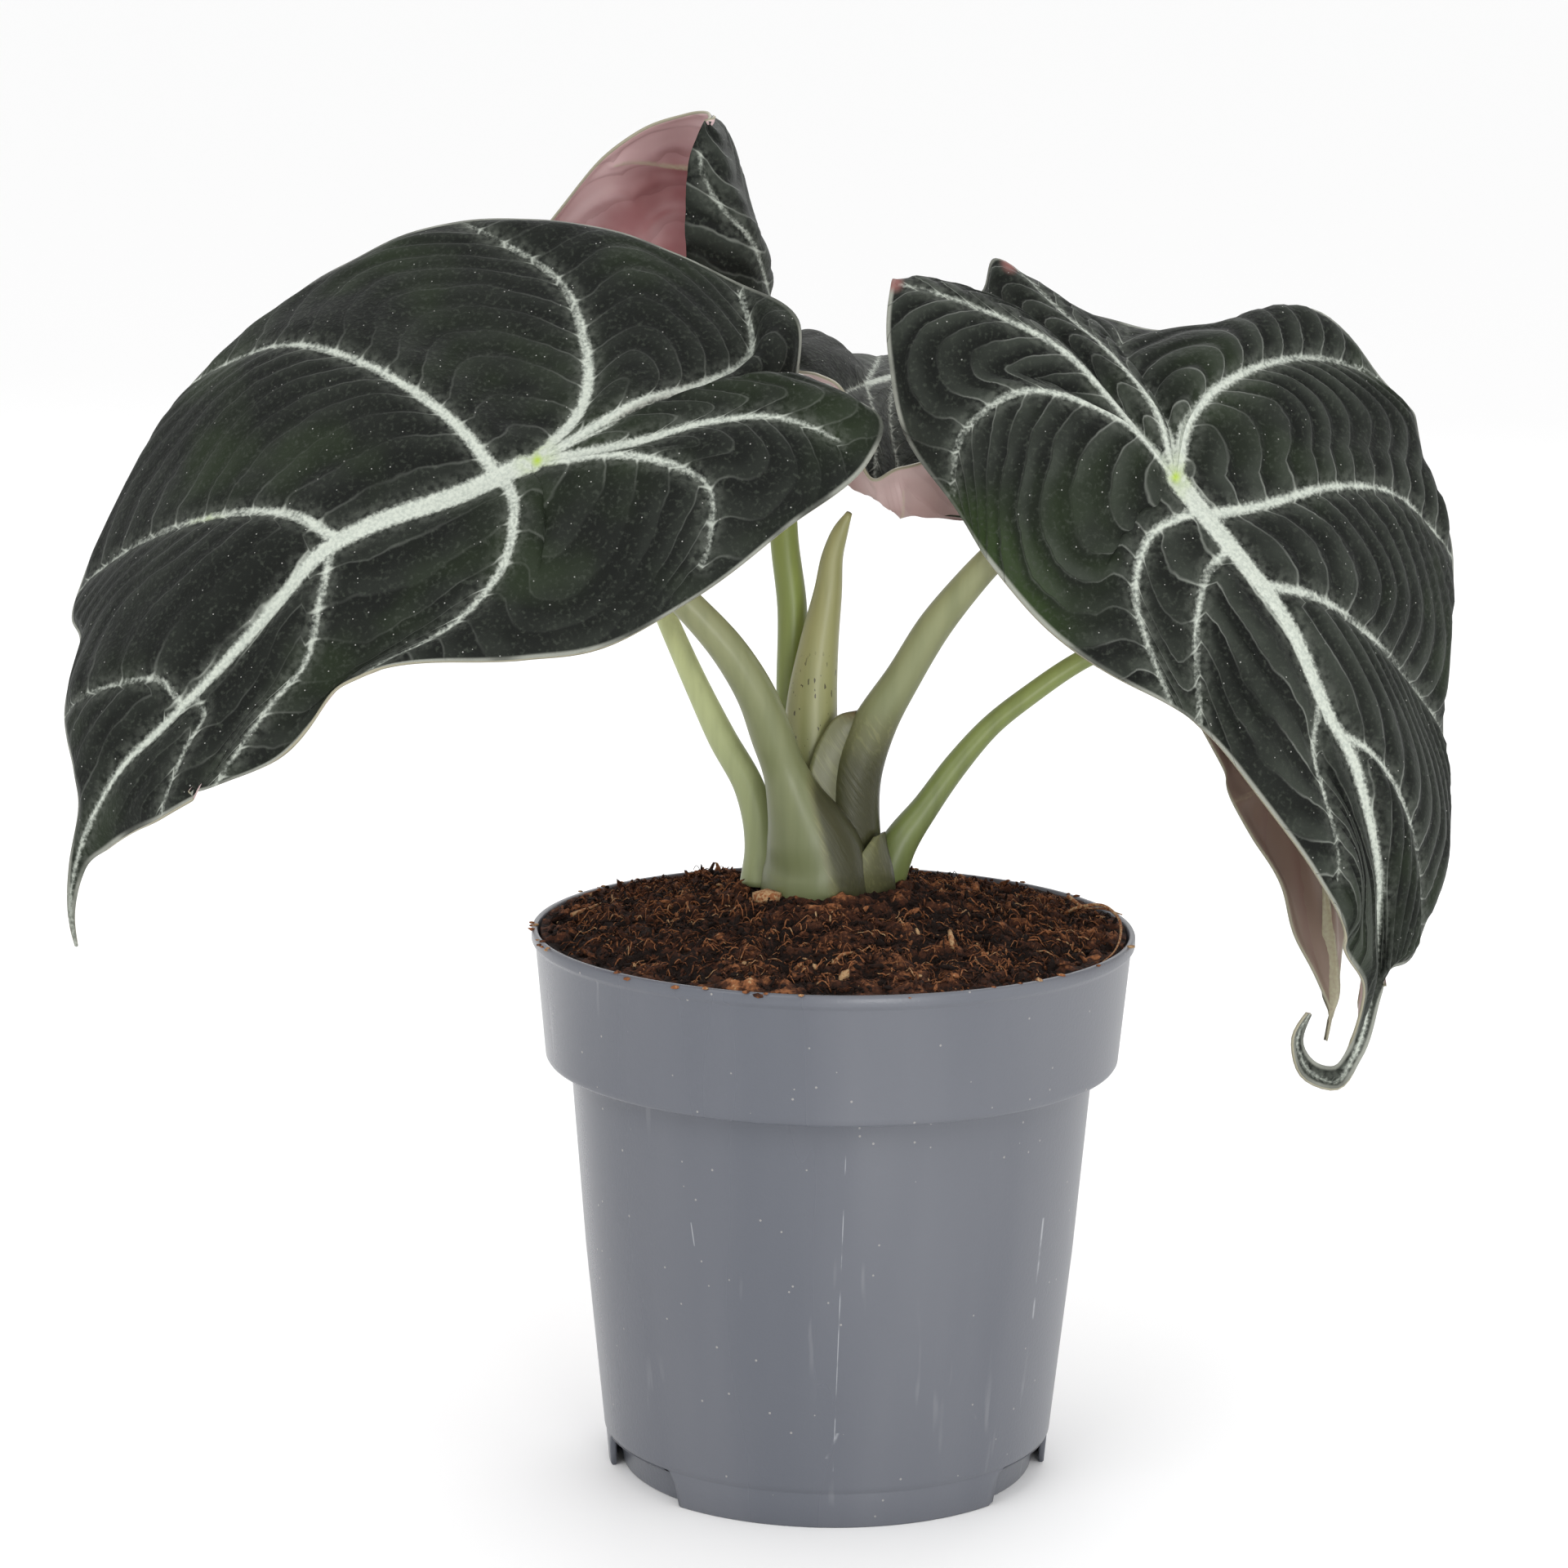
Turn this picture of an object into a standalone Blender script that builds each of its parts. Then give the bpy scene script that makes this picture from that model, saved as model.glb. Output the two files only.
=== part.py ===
"""Alocasia with velvety dark leaves in a grey nursery pot.

The pot is a revolved wall with three notches in its skirt, filled with soil. The crown stands
in a plain hole in the soil and carries the stalks, and each leaf blade sits at its stalk's end.
A blade is a cubic sheet through rows of points: a row starts on the midrib and follows a side
vein out to the margin. The points were read off the photograph by eye as (column, row), with
the depth behind the pot's axis in millimetres, and photo_point() turns them into metres.
"""
import math

import bmesh
import bpy
import numpy as np
from mathutils import Vector

MM = 0.001

# Pot, in millimetres
RIM_RADIUS = 60.0
POT_HEIGHT = 110.5
COLLAR_BOTTOM_RADIUS = 57.6
COLLAR_BOTTOM_Z = 84.2
BODY_TOP_RADIUS = 52.3
CREASE_RADIUS = 45.4
CREASE_Z = 7.4
FOOT_RADIUS = 44.5
WALL = 1.0
FLOOR = 1.4
POT_SEGMENTS = 60
NOTCH_AZIMUTHS = (-60.0, 66.0, 183.0)
NOTCH_WIDTH = 36.0
NOTCH_HEIGHT = 6.9
DRAIN_HOLES = 4
DRAIN_RADIUS = 4.0
DRAIN_CIRCLE = 27.0

# Soil and crown, in millimetres
FIT = 0.35
SOIL_EDGE_Z = 108.6
MOUND_Z = 119.3
CROWN_AT = (-1.5, 3.0)
CROWN_RADIUS = 17.3
CROWN_BOTTOM_Z = 90.0
CROWN_TOP_Z = 120.2

# The photograph's frame, which the leaf and stalk points are read in
FRAME_CENTRE = 960.0
FOCAL_PIXELS = 5630.0
EYE = np.array([-10.2, -900.0, 310.0])
PITCH = math.radians(10.73)
ROLL = math.radians(0.65)

# Blades, in millimetres: thickness at the margin and at the midrib
MARGIN_THICKNESS = 0.8
MIDRIB_THICKNESS = 1.9
TIP_CUT = 0.965

# Stalks: (column, row, depth, radius), the last two in millimetres
STALKS = {
    "left_leaf": [(998, 1088, -2, 10.9), (998, 1052, -3, 10.2), (988, 1016, -5, 8.3),
                  (974, 980, -6.5, 5.9), (961, 944, -7.5, 4.4), (945, 900, -9, 4.2), (927, 853, -11, 3.9), (895, 800, -13, 3.6),
                  (840, 738, -15, 3.1), (780, 680, -16, 2.9), (715, 625, -16, 2.7),
                  (670, 588, -15.5, 2.5)],
    "right_leaf": [(1042, 1080, 4, 7.2), (1038, 1020, 3, 6.6), (1046, 950, 1, 5.5),
                   (1072, 885, -1, 4.4), (1106, 829, -3, 3.6), (1145, 766, -5, 3.4),
                   (1181, 721, -7, 3.1), (1209, 690, -8, 2.9), (1290, 622, -7, 2.8),
                   (1370, 590, -6, 2.6), (1428, 592, -8, 2.4)],
    "top_leaf": [(932, 1085, 4, 4.4), (934, 1040, 5, 3.7), (918, 965, 6, 3.1),
                 (884, 903, 8, 2.9), (855, 843, 10, 2.5), (817, 758, 14, 2.2),
                 (788, 690, 19, 2.1), (774, 600, 27, 2.1), (777, 500, 36, 2.1),
                 (796, 428, 43, 2.0)],
    "back_leaf": [(985, 1085, 10, 4.5), (975, 950, 10, 3.6), (970, 850, 11, 3.2),
                  (970, 744, 12, 3.0), (960, 650, 14, 2.8), (962, 580, 17, 2.5),
                  (990, 515, 21, 2.2), (1040, 482, 24, 1.9)],
    "low_leaf": [(1082, 1080, 6, 4.2), (1100, 1035, 6, 3.7), (1134, 987, 7, 2.8),
                 (1172, 935, 9, 2.5), (1214, 888, 11, 2.2), (1262, 850, 13, 2.1),
                 (1325, 808, 14, 2.0), (1430, 768, 12, 1.9), (1500, 750, 17, 1.8),
                 (1532, 748, 24, 1.7)],
    "new_leaf": [(1003, 1085, 4, 6.2), (995, 950, 4, 5.5), (994, 866, 4, 5.1),
                 (1003, 788, 4, 3.9), (1014, 723, 4, 2.8), (1020, 678, 3, 2.1),
                 (1030, 648, 2, 1.5), (1040, 628, 1, 0.6)],
}
STALK_SIDES = 12
SEAT_DEPTH = 1.7
SEAT_RADIUS = 0.8

# Blades. A row is (place along the midrib, lean towards or away from the viewer at the margin in
# millimetres, points at quarters of the way out); rows below 0 fan out over the basal lobes.
LEFT_LEAF = {
    "upper_side_faces": (0, -1, 0.5),
    "midrib": [
        (650, 568, -22), (550, 611, -24), (460, 640, -27), (395, 675, -29), (346, 733, -31),
        (264, 824, -34), (205, 885, -35), (147, 943, -34), (114, 998, -32), (92, 1060, -28),
        (86, 1120, -25), (96, 1172, -23),
    ],
    "far_half": {"lean_power": 1.25, "rows": [
        (-1, 21, [(745, 522, -19), (825, 505), (905, 492), (978, 478)]),
        (-0.88, 23, [(750, 518), (830, 488), (915, 455), (980, 392)]),
        (-0.74, 34, [(776, 495), (860, 470), (920, 430), (903, 343)]),
        (-0.57, 44, [(745, 495), (800, 430), (805, 350), (762, 283)]),
        (-0.35, 50, [(712, 500), (717, 425), (680, 340), (560, 268)]),
        (-0.18, 52, [(640, 520), (590, 440), (515, 360), (415, 322)]),
        (0.045, 50, [(550, 512), (450, 447), (345, 423), (231, 468)]),
        (0.19, 46, [(468, 565), (370, 528), (270, 520), (158, 575)]),
        (0.31, 40, [(330, 642), (251, 641), (170, 667), (89, 723)]),
        (0.48, 30, [(243, 755), (195, 746), (140, 760), (94, 790)]),
        (0.61, 20, [(185, 846), (140, 845), (102, 855), (73, 876)]),
        (0.7, 11, [(145, 907), (122, 911), (103, 922), (87, 942)]),
        (0.8, 4, [(110, 993), (105, 993), (100, 994), (95, 995)]),
        (0.872, 1, [(90, 1060), (88, 1060), (86, 1060), (84, 1060)]),
        (0.94, 0, [(85, 1120), (84, 1120), (83.5, 1120), (83, 1120)]),
        (1, 0, [(95.5, 1172), (95.3, 1172), (95.1, 1172), (95, 1172)]),
    ]},
    "near_half": {"lean_power": 0.85, "rows": [
        (-1, 4, [(745, 522, -19), (830, 487), (925, 463), (1015, 468)]),
        (-0.9, -2, [(765, 535), (870, 505), (985, 488), (1081, 514)]),
        (-0.82, -6, [(764, 545), (870, 517), (965, 514), (1066, 562)]),
        (-0.66, -15, [(780, 552), (885, 548), (950, 585), (962, 648)]),
        (-0.49, -20, [(775, 558), (862, 592), (868, 662), (842, 737)]),
        (-0.36, -24, [(690, 610), (740, 675), (755, 735), (745, 788)]),
        (-0.2, -25, [(655, 640), (672, 700), (668, 755), (640, 804)]),
        (0.04, -24, [(630, 625), (612, 700), (545, 772), (440, 822)]),
        (0.1, -22, [(575, 650), (560, 715), (505, 785), (409, 841)]),
        (0.16, -20, [(510, 680), (500, 742), (455, 805), (376, 887)]),
        (0.24, -17, [(445, 715), (432, 778), (390, 840), (328, 934)]),
        (0.32, -16, [(376, 745), (368, 815), (325, 871), (262, 963)]),
        (0.5, -14, [(290, 845), (272, 893), (252, 938), (228, 979)]),
        (0.59, -11, [(238, 885), (224, 918), (210, 955), (193, 1001)]),
        (0.7, -6, [(158, 950), (159, 972), (160, 995), (161, 1018)]),
        (0.8, -2, [(118, 1008), (123, 1019), (127, 1030), (131, 1040)]),
        (0.872, 0, [(95, 1061), (98, 1062), (101, 1063), (105, 1064)]),
        (0.94, 0, [(87, 1120), (88.5, 1120), (90, 1120), (91.5, 1120)]),
        (1, 0, [(96.5, 1172), (96.7, 1172), (96.9, 1172), (97, 1172)]),
    ]},
}
RIGHT_LEAF = {
    "upper_side_faces": (0, -1, 0.5),
    "midrib": [
        (1440, 585, -15), (1490, 648, -19), (1541, 711, -23), (1585, 775, -26), (1624, 866, -28),
        (1655, 925, -28), (1676, 1000, -27), (1688, 1080, -25), (1684, 1150, -22),
        (1677, 1220, -19), (1660, 1290, -17), (1635, 1325, -17), (1603, 1312, -19),
        (1588, 1275, -21), (1611, 1229, -22),
    ],
    "far_half": {"lean_power": 1.35, "rows": [
        (-1, 27, [(1382, 515, -11), (1300, 435), (1225, 385), (1197, 356)]),
        (-0.85, 26, [(1415, 500), (1360, 433), (1298, 380), (1236, 318)]),
        (-0.78, 28, [(1422, 510), (1378, 452), (1335, 405), (1302, 366)]),
        (-0.7, 30, [(1432, 530), (1402, 478), (1371, 432), (1378, 394)]),
        (-0.55, 34, [(1445, 520), (1448, 465), (1462, 425), (1480, 393)]),
        (-0.4, 40, [(1452, 520), (1490, 455), (1550, 408), (1622, 378)]),
        (-0.3, 44, [(1460, 507), (1522, 457), (1605, 438), (1702, 463)]),
        (-0.05, 46, [(1510, 565), (1590, 535), (1675, 535), (1748, 563)]),
        (0.06, 48, [(1550, 618), (1635, 596), (1712, 608), (1783, 684)]),
        (0.13, 46, [(1590, 680), (1665, 690), (1730, 730), (1779, 790)]),
        (0.205, 44, [(1622, 752), (1677, 788), (1722, 832), (1772, 900)]),
        (0.3, 38, [(1660, 850), (1710, 895), (1748, 950), (1773, 1010)]),
        (0.36, 30, [(1675, 905), (1720, 950), (1750, 1010), (1765, 1080)]),
        (0.41, 18, [(1685, 938), (1716, 990), (1736, 1060), (1740, 1157)]),
        (0.5, 9, [(1690, 1045), (1702, 1095), (1708, 1145), (1703, 1187)]),
        (0.62, 4, [(1692, 1130), (1695, 1155), (1697, 1180), (1694, 1205)]),
        (0.745, 1, [(1680, 1222), (1684, 1223), (1687, 1224), (1690, 1225)]),
        (0.82, 0, [(1662, 1291), (1664, 1293), (1666, 1294), (1668, 1295)]),
        (0.867, -1, [(1635, 1327), (1636, 1329), (1636, 1331), (1637, 1333)]),
        (0.904, -1, [(1602, 1314), (1600, 1316), (1598, 1318), (1597, 1320)]),
        (0.946, -1, [(1587, 1275), (1586, 1275), (1585, 1275), (1584, 1276)]),
        (1, 0, [(1610.7, 1229), (1610.5, 1229), (1610.3, 1229), (1610, 1229)]),
    ]},
    "near_half": {"lean_power": 1.0, "rows": [
        (-1, 16, [(1382, 515, -11), (1300, 430), (1215, 370), (1104, 341)]),
        (-0.85, 9, [(1374, 504), (1300, 428), (1205, 380), (1092, 343)]),
        (-0.7, 2, [(1365, 520), (1270, 470), (1170, 430), (1087, 430)]),
        (-0.6, -4, [(1370, 518), (1258, 470), (1165, 485), (1106, 530)]),
        (-0.5, -10, [(1375, 515), (1262, 478), (1182, 528), (1162, 614)]),
        (-0.3, -16, [(1400, 600), (1330, 600), (1265, 640), (1222, 700)]),
        (-0.1, -18, [(1405, 635), (1350, 685), (1328, 742), (1320, 797)]),
        (0.05, -18, [(1410, 655), (1390, 720), (1404, 785), (1435, 864)]),
        (0.125, -16, [(1484, 715), (1469, 770), (1467, 830), (1470, 889)]),
        (0.235, -14, [(1560, 800), (1548, 850), (1540, 900), (1530, 955)]),
        (0.3, -12, [(1592, 880), (1588, 930), (1588, 980), (1585, 1027)]),
        (0.358, -10, [(1614, 928), (1625, 980), (1637, 1035), (1637, 1105)]),
        (0.51, -6, [(1672, 1040), (1668, 1085), (1660, 1125), (1653, 1168)]),
        (0.67, -3, [(1682, 1170), (1680, 1188), (1677, 1203), (1672, 1218)]),
        (0.745, -1.5, [(1675, 1230), (1671, 1240), (1667, 1250), (1662, 1260)]),
        (0.82, 0, [(1657, 1288), (1655, 1286), (1652, 1285), (1650, 1284)]),
        (0.867, 1, [(1635, 1320), (1634, 1315), (1634, 1310), (1633, 1305)]),
        (0.904, 1, [(1605, 1309), (1607, 1306), (1609, 1303), (1611, 1300)]),
        (0.946, 1, [(1590, 1275), (1592, 1275), (1594, 1275), (1596, 1276)]),
        (1, 0, [(1611.3, 1229), (1611.5, 1229), (1611.7, 1229), (1612, 1229)]),
    ]},
}
TOP_LEAF = {
    "upper_side_faces": (0, 1, 0.3),
    "midrib": [
        (800, 405, 48), (740, 420, 62), (670, 455, 80), (600, 510, 98), (545, 580, 112),
        (510, 650, 120), (500, 690, 122),
    ],
    "far_half": {"lean_power": 1, "rows": [
        (-1, None, [(838, 345, 34), (840, 270, 29), (846, 190, 30), (871, 139, 36)]),
        (-0.85, None, [(885, 385, 38), (918, 300, 29), (888, 225, 28), (869, 146, 34)]),
        (-0.7, None, [(925, 395, 44), (938, 330, 40), (900, 238, 40), (873, 142, 42)]),
        (-0.55, None, [(890, 380, 54), (915, 300, 56), (898, 210, 55), (868, 135, 50)]),
        (-0.35, None, [(850, 340, 58), (865, 265, 64), (858, 190, 62), (840, 136, 54)]),
        (-0.15, None, [(815, 330, 58), (815, 260, 66), (808, 200, 64), (786, 155, 56)]),
        (0.05, None, [(780, 345, 62), (770, 285, 68), (750, 235, 66), (728, 200, 58)]),
        (0.2, None, [(730, 360, 74), (715, 315, 78), (698, 280, 76), (680, 260, 70)]),
        (0.4, None, [(655, 415, 90), (640, 380, 94), (625, 355, 94), (612, 340, 90)]),
        (0.65, None, [(575, 490, 104), (560, 470, 106), (548, 460, 106), (540, 452, 104)]),
        (0.85, None, [(518, 610, 116), (512, 602, 117), (508, 596, 117), (505, 592, 116)]),
        (1, None, [(499, 690, 122), (498.6, 690, 122), (498.3, 690, 122), (498, 690, 122)]),
    ]},
    "near_half": {"lean_power": 1, "rows": [
        (-1, None, [(845, 412, 40), (885, 425, 34), (915, 448, 32), (935, 478, 34)]),
        (-0.6, None, [(840, 440, 44), (870, 480, 40), (885, 520, 38), (885, 560, 40)]),
        (-0.2, None, [(800, 460, 52), (800, 520, 50), (795, 570, 48), (780, 612, 47)]),
        (0.15, None, [(740, 480, 66), (728, 540, 66), (715, 590, 64), (700, 632, 62)]),
        (0.4, None, [(655, 520, 84), (640, 570, 84), (625, 620, 82), (610, 655, 80)]),
        (0.65, None, [(580, 575, 102), (570, 610, 103), (560, 640, 102), (550, 665, 100)]),
        (0.85, None, [(520, 630, 118), (516, 645, 118), (512, 655, 118), (508, 662, 117)]),
        (1, None, [(500.4, 690, 122), (500.7, 690, 122), (501, 690, 122), (501.3, 690, 122)]),
    ]},
}
BACK_LEAF = {
    "upper_side_faces": (0, -0.3, 1),
    "midrib": [
        (1060, 470, 24), (1120, 455, 42), (1190, 450, 62), (1260, 465, 82), (1320, 500, 98),
        (1365, 550, 110), (1390, 600, 116),
    ],
    "far_half": {"lean_power": 1, "rows": [
        (-1, None, [(1044, 444, 29), (1015, 420, 28), (985, 411, 28), (950, 425, 26)]),
        (-0.8, None, [(1040, 452, 22), (1012, 442, 18), (982, 438, 16), (962, 450, 15)]),
        (-0.6, None, [(1040, 478, 15), (1018, 488, 8), (1004, 492, 5), (1004, 458, 2)]),
        (-0.4, None, [(1052, 500, 13), (1040, 545, 6), (1028, 585, 1), (1037, 484, -4)]),
        (-0.2, None, [(1070, 510, 12), (1072, 570, 2), (1066, 612, -5), (1060, 574, -9)]),
        (0.1, None, [(1090, 510, 18), (1100, 580, 6), (1104, 630, -2), (1104, 571, -7)]),
        (0.3, None, [(1150, 510, 30), (1155, 580, 12), (1158, 640, 4), (1162, 562, -1)]),
        (0.5, None, [(1220, 520, 48), (1225, 590, 32), (1230, 640, 24), (1232, 590, 18)]),
        (0.7, None, [(1300, 540, 76), (1298, 590, 66), (1295, 625, 60), (1295, 600, 56)]),
        (0.88, None, [(1372, 580, 108), (1368, 592, 106), (1364, 600, 104), (1362, 604, 103)]),
        (1, None, [(1390, 600.4, 116), (1390, 600.7, 116), (1390, 601, 116), (1390, 601.3, 116)]),
    ]},
    "near_half": {"lean_power": 1, "rows": [
        (-1, None, [(1044, 444, 29), (1018, 440, 44), (990, 436, 54), (960, 436, 62)]),
        (-0.7, None, [(1052, 444, 40), (1040, 440, 58), (1015, 442, 74), (990, 448, 86)]),
        (-0.3, None, [(1075, 442, 44), (1074, 437, 64), (1062, 442, 82), (1042, 452, 98)]),
        (0.1, None, [(1100, 440, 52), (1110, 438, 72), (1112, 444, 90), (1108, 456, 106)]),
        (0.3, None, [(1160, 435, 72), (1170, 430, 92), (1175, 435, 108), (1175, 450, 122)]),
        (0.5, None, [(1235, 440, 92), (1245, 435, 108), (1250, 442, 122), (1250, 460, 132)]),
        (0.7, None, [(1312, 475, 106), (1318, 472, 118), (1322, 480, 128), (1322, 498, 134)]),
        (0.88, None, [(1380, 562, 116), (1385, 562, 120), (1388, 566, 123), (1390, 572, 125)]),
        (1, None, [(1390, 599.6, 116), (1390, 599.3, 116), (1390, 599, 116), (1390, 598.7, 116)]),
    ]},
}
LOW_LEAF = {
    "upper_side_faces": (0, 1, 0.3),
    "midrib": [
        (1545, 745, 30), (1570, 820, 30), (1590, 900, 26), (1606, 990, 20), (1618, 1080, 14),
        (1628, 1160, 9), (1630, 1225, 6), (1623, 1283, 4),
    ],
    "far_half": {"lean_power": 1.2, "rows": [
        (-1, -4, [(1530, 700), (1510, 660), (1490, 630), (1475, 610)]),
        (-0.7, -8, [(1500, 720), (1460, 700), (1430, 700), (1405, 715)]),
        (-0.35, -10, [(1500, 770), (1460, 795), (1440, 808), (1425, 818)]),
        (0.02, -10, [(1520, 815), (1490, 850), (1470, 862), (1455, 868)]),
        (0.2, -9, [(1555, 880), (1530, 905), (1512, 920), (1496, 942)]),
        (0.4, -8, [(1575, 955), (1552, 965), (1530, 975), (1507, 985)]),
        (0.52, -7, [(1590, 1018), (1570, 1022), (1550, 1025), (1530, 1027)]),
        (0.65, -6, [(1605, 1086), (1593, 1088), (1580, 1088), (1566, 1086)]),
        (0.78, -4, [(1616, 1146), (1606, 1147), (1595, 1148), (1584, 1148)]),
        (0.88, -2, [(1626, 1204), (1622, 1204), (1618, 1204), (1613, 1203)]),
        (0.93, 0, [(1629, 1240), (1628.5, 1240), (1628, 1240), (1627.5, 1240)]),
        (1, 0, [(1622.7, 1283), (1622.5, 1283), (1622.3, 1283), (1622, 1283)]),
    ]},
    "near_half": {"lean_power": 1.2, "rows": [
        (-1, 6, [(1560, 700), (1575, 655), (1590, 620), (1605, 600)]),
        (-0.7, 8, [(1600, 710), (1645, 690), (1680, 685), (1710, 690)]),
        (-0.3, 8, [(1610, 760), (1665, 765), (1705, 775), (1735, 790)]),
        (0.05, 8, [(1620, 820), (1670, 840), (1705, 860), (1735, 880)]),
        (0.2, 7, [(1620, 880), (1660, 915), (1690, 945), (1715, 970)]),
        (0.4, 5, [(1630, 970), (1655, 1000), (1675, 1030), (1690, 1055)]),
        (0.6, 3, [(1630, 1055), (1645, 1070), (1655, 1085), (1662, 1100)]),
        (0.75, 2, [(1630, 1128), (1635, 1136), (1639, 1144), (1643, 1152)]),
        (0.88, 1, [(1632, 1197), (1634, 1198), (1636, 1199), (1637, 1200)]),
        (0.93, 0, [(1631, 1240), (1631.5, 1240), (1632, 1240), (1632.5, 1240)]),
        (1, 0, [(1623.3, 1283), (1623.5, 1283), (1623.7, 1283), (1624, 1283)]),
    ]},
}


def photo_point(column, row, depth):
    """Place in metres of the point seen at a pixel, a given depth in mm behind the axis."""
    across, down = column - FRAME_CENTRE, row - FRAME_CENTRE
    x = across * math.cos(ROLL) + down * math.sin(ROLL)
    y = down * math.cos(ROLL) - across * math.sin(ROLL)
    ahead = np.array([0.0, math.cos(PITCH), -math.sin(PITCH)])
    above = np.array([0.0, math.sin(PITCH), math.cos(PITCH)])
    ray = ahead + (np.array([1.0, 0.0, 0.0]) * x - above * y) / FOCAL_PIXELS
    return (EYE + ray * (depth - EYE[1]) / ray[1]) * MM


def cubic_through(knots, values, at):
    """Smooth cubic through values at uneven knots, for an array of places."""
    knots, values, at = (np.asarray(a, float) for a in (knots, values, at))
    wide = (-1,) + (1,) * (values.ndim - 1)
    step = np.diff(knots).reshape(wide)
    slope = np.diff(values, axis=0) / step
    tangent = np.concatenate([slope[:1], slope, slope[-1:]])[:-1]
    tangent[1:-1] = (slope[:-1] * step[1:] + slope[1:] * step[:-1]) / (step[1:] + step[:-1])
    tangent[-1] = slope[-1]
    i = np.clip(np.searchsorted(knots, at, side="right") - 1, 0, len(step) - 1)
    t = ((at - knots[i]) / step[i].ravel()).reshape(wide)
    return ((2 * t**3 - 3 * t**2 + 1) * values[i] + (t**3 - 2 * t**2 + t) * step[i] * tangent[i]
            + (3 * t**2 - 2 * t**3) * values[i + 1] + (t**3 - t**2) * step[i] * tangent[i + 1])


def along_midrib(leaf, places):
    """Points on the midrib at shares of its length, with the viewer's depth as a fourth value."""
    points = np.array([[*photo_point(*p), p[2]] for p in leaf["midrib"]])
    run = np.r_[0, np.cumsum(np.linalg.norm(np.diff(points[:, :3], axis=0), axis=1))]
    return cubic_through(run / run[-1], points, np.clip(places, 0, 1))


def half_blade(leaf, half, places, outs):
    """Grid of points of one half blade: places along the midrib by shares of the way out."""
    rows = []
    for place, lean, picks in leaf[half]["rows"]:
        start = along_midrib(leaf, np.array([place]))[0]
        row = [start[:3]]
        for quarter, pick in enumerate(picks, 1):
            bend = 0 if lean is None else lean * (quarter / 4) ** leaf[half]["lean_power"]
            row.append(photo_point(pick[0], pick[1], pick[2] if len(pick) > 2 else start[3] + bend))
        rows.append(row)
    sheet = cubic_through([row[0] for row in leaf[half]["rows"]], rows, places)
    sheet[:, 0] = along_midrib(leaf, places)[:, :3]
    return cubic_through([0, 0.25, 0.5, 0.75, 1], sheet.swapaxes(0, 1), outs).swapaxes(0, 1)


def join_lobes(leaf, far, near, outs):
    """Let the two lobes share their first quarter where their edge rows start alike."""
    if leaf["far_half"]["rows"][0][2][0] == leaf["near_half"]["rows"][0][2][0]:
        shared = outs <= 0.25
        far[0, shared] = near[0, shared] = (far[0, shared] + near[0, shared]) / 2


def new_object(name, mesh, colour, roughness, home):
    """Object with its own Principled material, linked into a collection."""
    item = bpy.data.objects.new(name, mesh)
    material = bpy.data.materials.new(name)
    material.use_nodes = True
    shader = material.node_tree.nodes["Principled BSDF"]
    shader.inputs["Base Color"].default_value = (*colour, 1)
    shader.inputs["Roughness"].default_value = roughness
    material.diffuse_color = (*colour, 1)
    mesh.materials.append(material)
    home.objects.link(item)
    return item


def sheet_mesh(name, grids, facing):
    """Triangulated sheet from grids that share edges, turned so that its upper side faces so."""
    shape = bmesh.new()
    for grid in grids:
        corners = [[shape.verts.new(point) for point in row] for row in grid]
        for low, high in zip(corners, corners[1:]):
            for a, b, c, d in zip(low, low[1:], high[1:], high):
                shape.faces.new((a, b, c))
                shape.faces.new((a, c, d))
    bmesh.ops.remove_doubles(shape, verts=shape.verts, dist=0.00002)
    bmesh.ops.dissolve_degenerate(shape, edges=shape.edges, dist=0.00002)
    bmesh.ops.recalc_face_normals(shape, faces=shape.faces)
    turn = sum((f.normal.dot(facing) * f.calc_area() for f in shape.faces))
    if turn < 0:
        bmesh.ops.reverse_faces(shape, faces=shape.faces)
    mesh = bpy.data.meshes.new(name)
    shape.to_mesh(mesh)
    shape.free()
    return mesh


def make_blade(name, leaf, steps, outs, colour, home):
    """Leaf blade: a sheet over both halves, thickened to the underside, thickest at the rib."""
    lobe, length = steps
    places = np.r_[np.linspace(-1, 0, lobe)[:-1], np.linspace(0, TIP_CUT, length)]
    outs = np.linspace(0, 1, outs)
    far = half_blade(leaf, "far_half", places, outs)
    near = half_blade(leaf, "near_half", places, outs)
    join_lobes(leaf, far, near, outs)
    mesh = sheet_mesh(name, (far, near), leaf["upper_side_faces"])
    blade = new_object(name, mesh, colour, 0.6, home)
    rib = along_midrib(leaf, np.linspace(0, TIP_CUT, 60))[:, :3]
    group = blade.vertex_groups.new(name="near_rib")
    for vertex in mesh.vertices:
        gap = np.linalg.norm(rib - np.array(vertex.co), axis=1).min()
        group.add([vertex.index], max(0.0, 1 - gap / (6 * MM)), "REPLACE")
    solid = blade.modifiers.new("Thickness", "SOLIDIFY")
    solid.thickness = MIDRIB_THICKNESS * MM
    solid.offset = -1
    solid.vertex_group = group.name
    solid.thickness_vertex_group = MARGIN_THICKNESS / MIDRIB_THICKNESS
    blade["base"] = tuple(rib[0])
    return blade


def revolve(item, segments):
    """Screw modifier that turns an outline in the XZ plane about the axis."""
    screw = item.modifiers.new("Turn", "SCREW")
    screw.angle = math.tau
    screw.steps = screw.render_steps = segments
    screw.use_merge_vertices = True
    screw.merge_threshold = 0.00001
    screw.use_normal_calculate = True
    return screw


def outline_mesh(name, points):
    """Open outline from the axis round to the axis, given as (radius, height) in mm."""
    mesh = bpy.data.meshes.new(name)
    mesh.from_pydata([(r * MM, 0, z * MM) for r, z in points],
                     [(i, i + 1) for i in range(len(points) - 1)], [])
    return mesh


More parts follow.
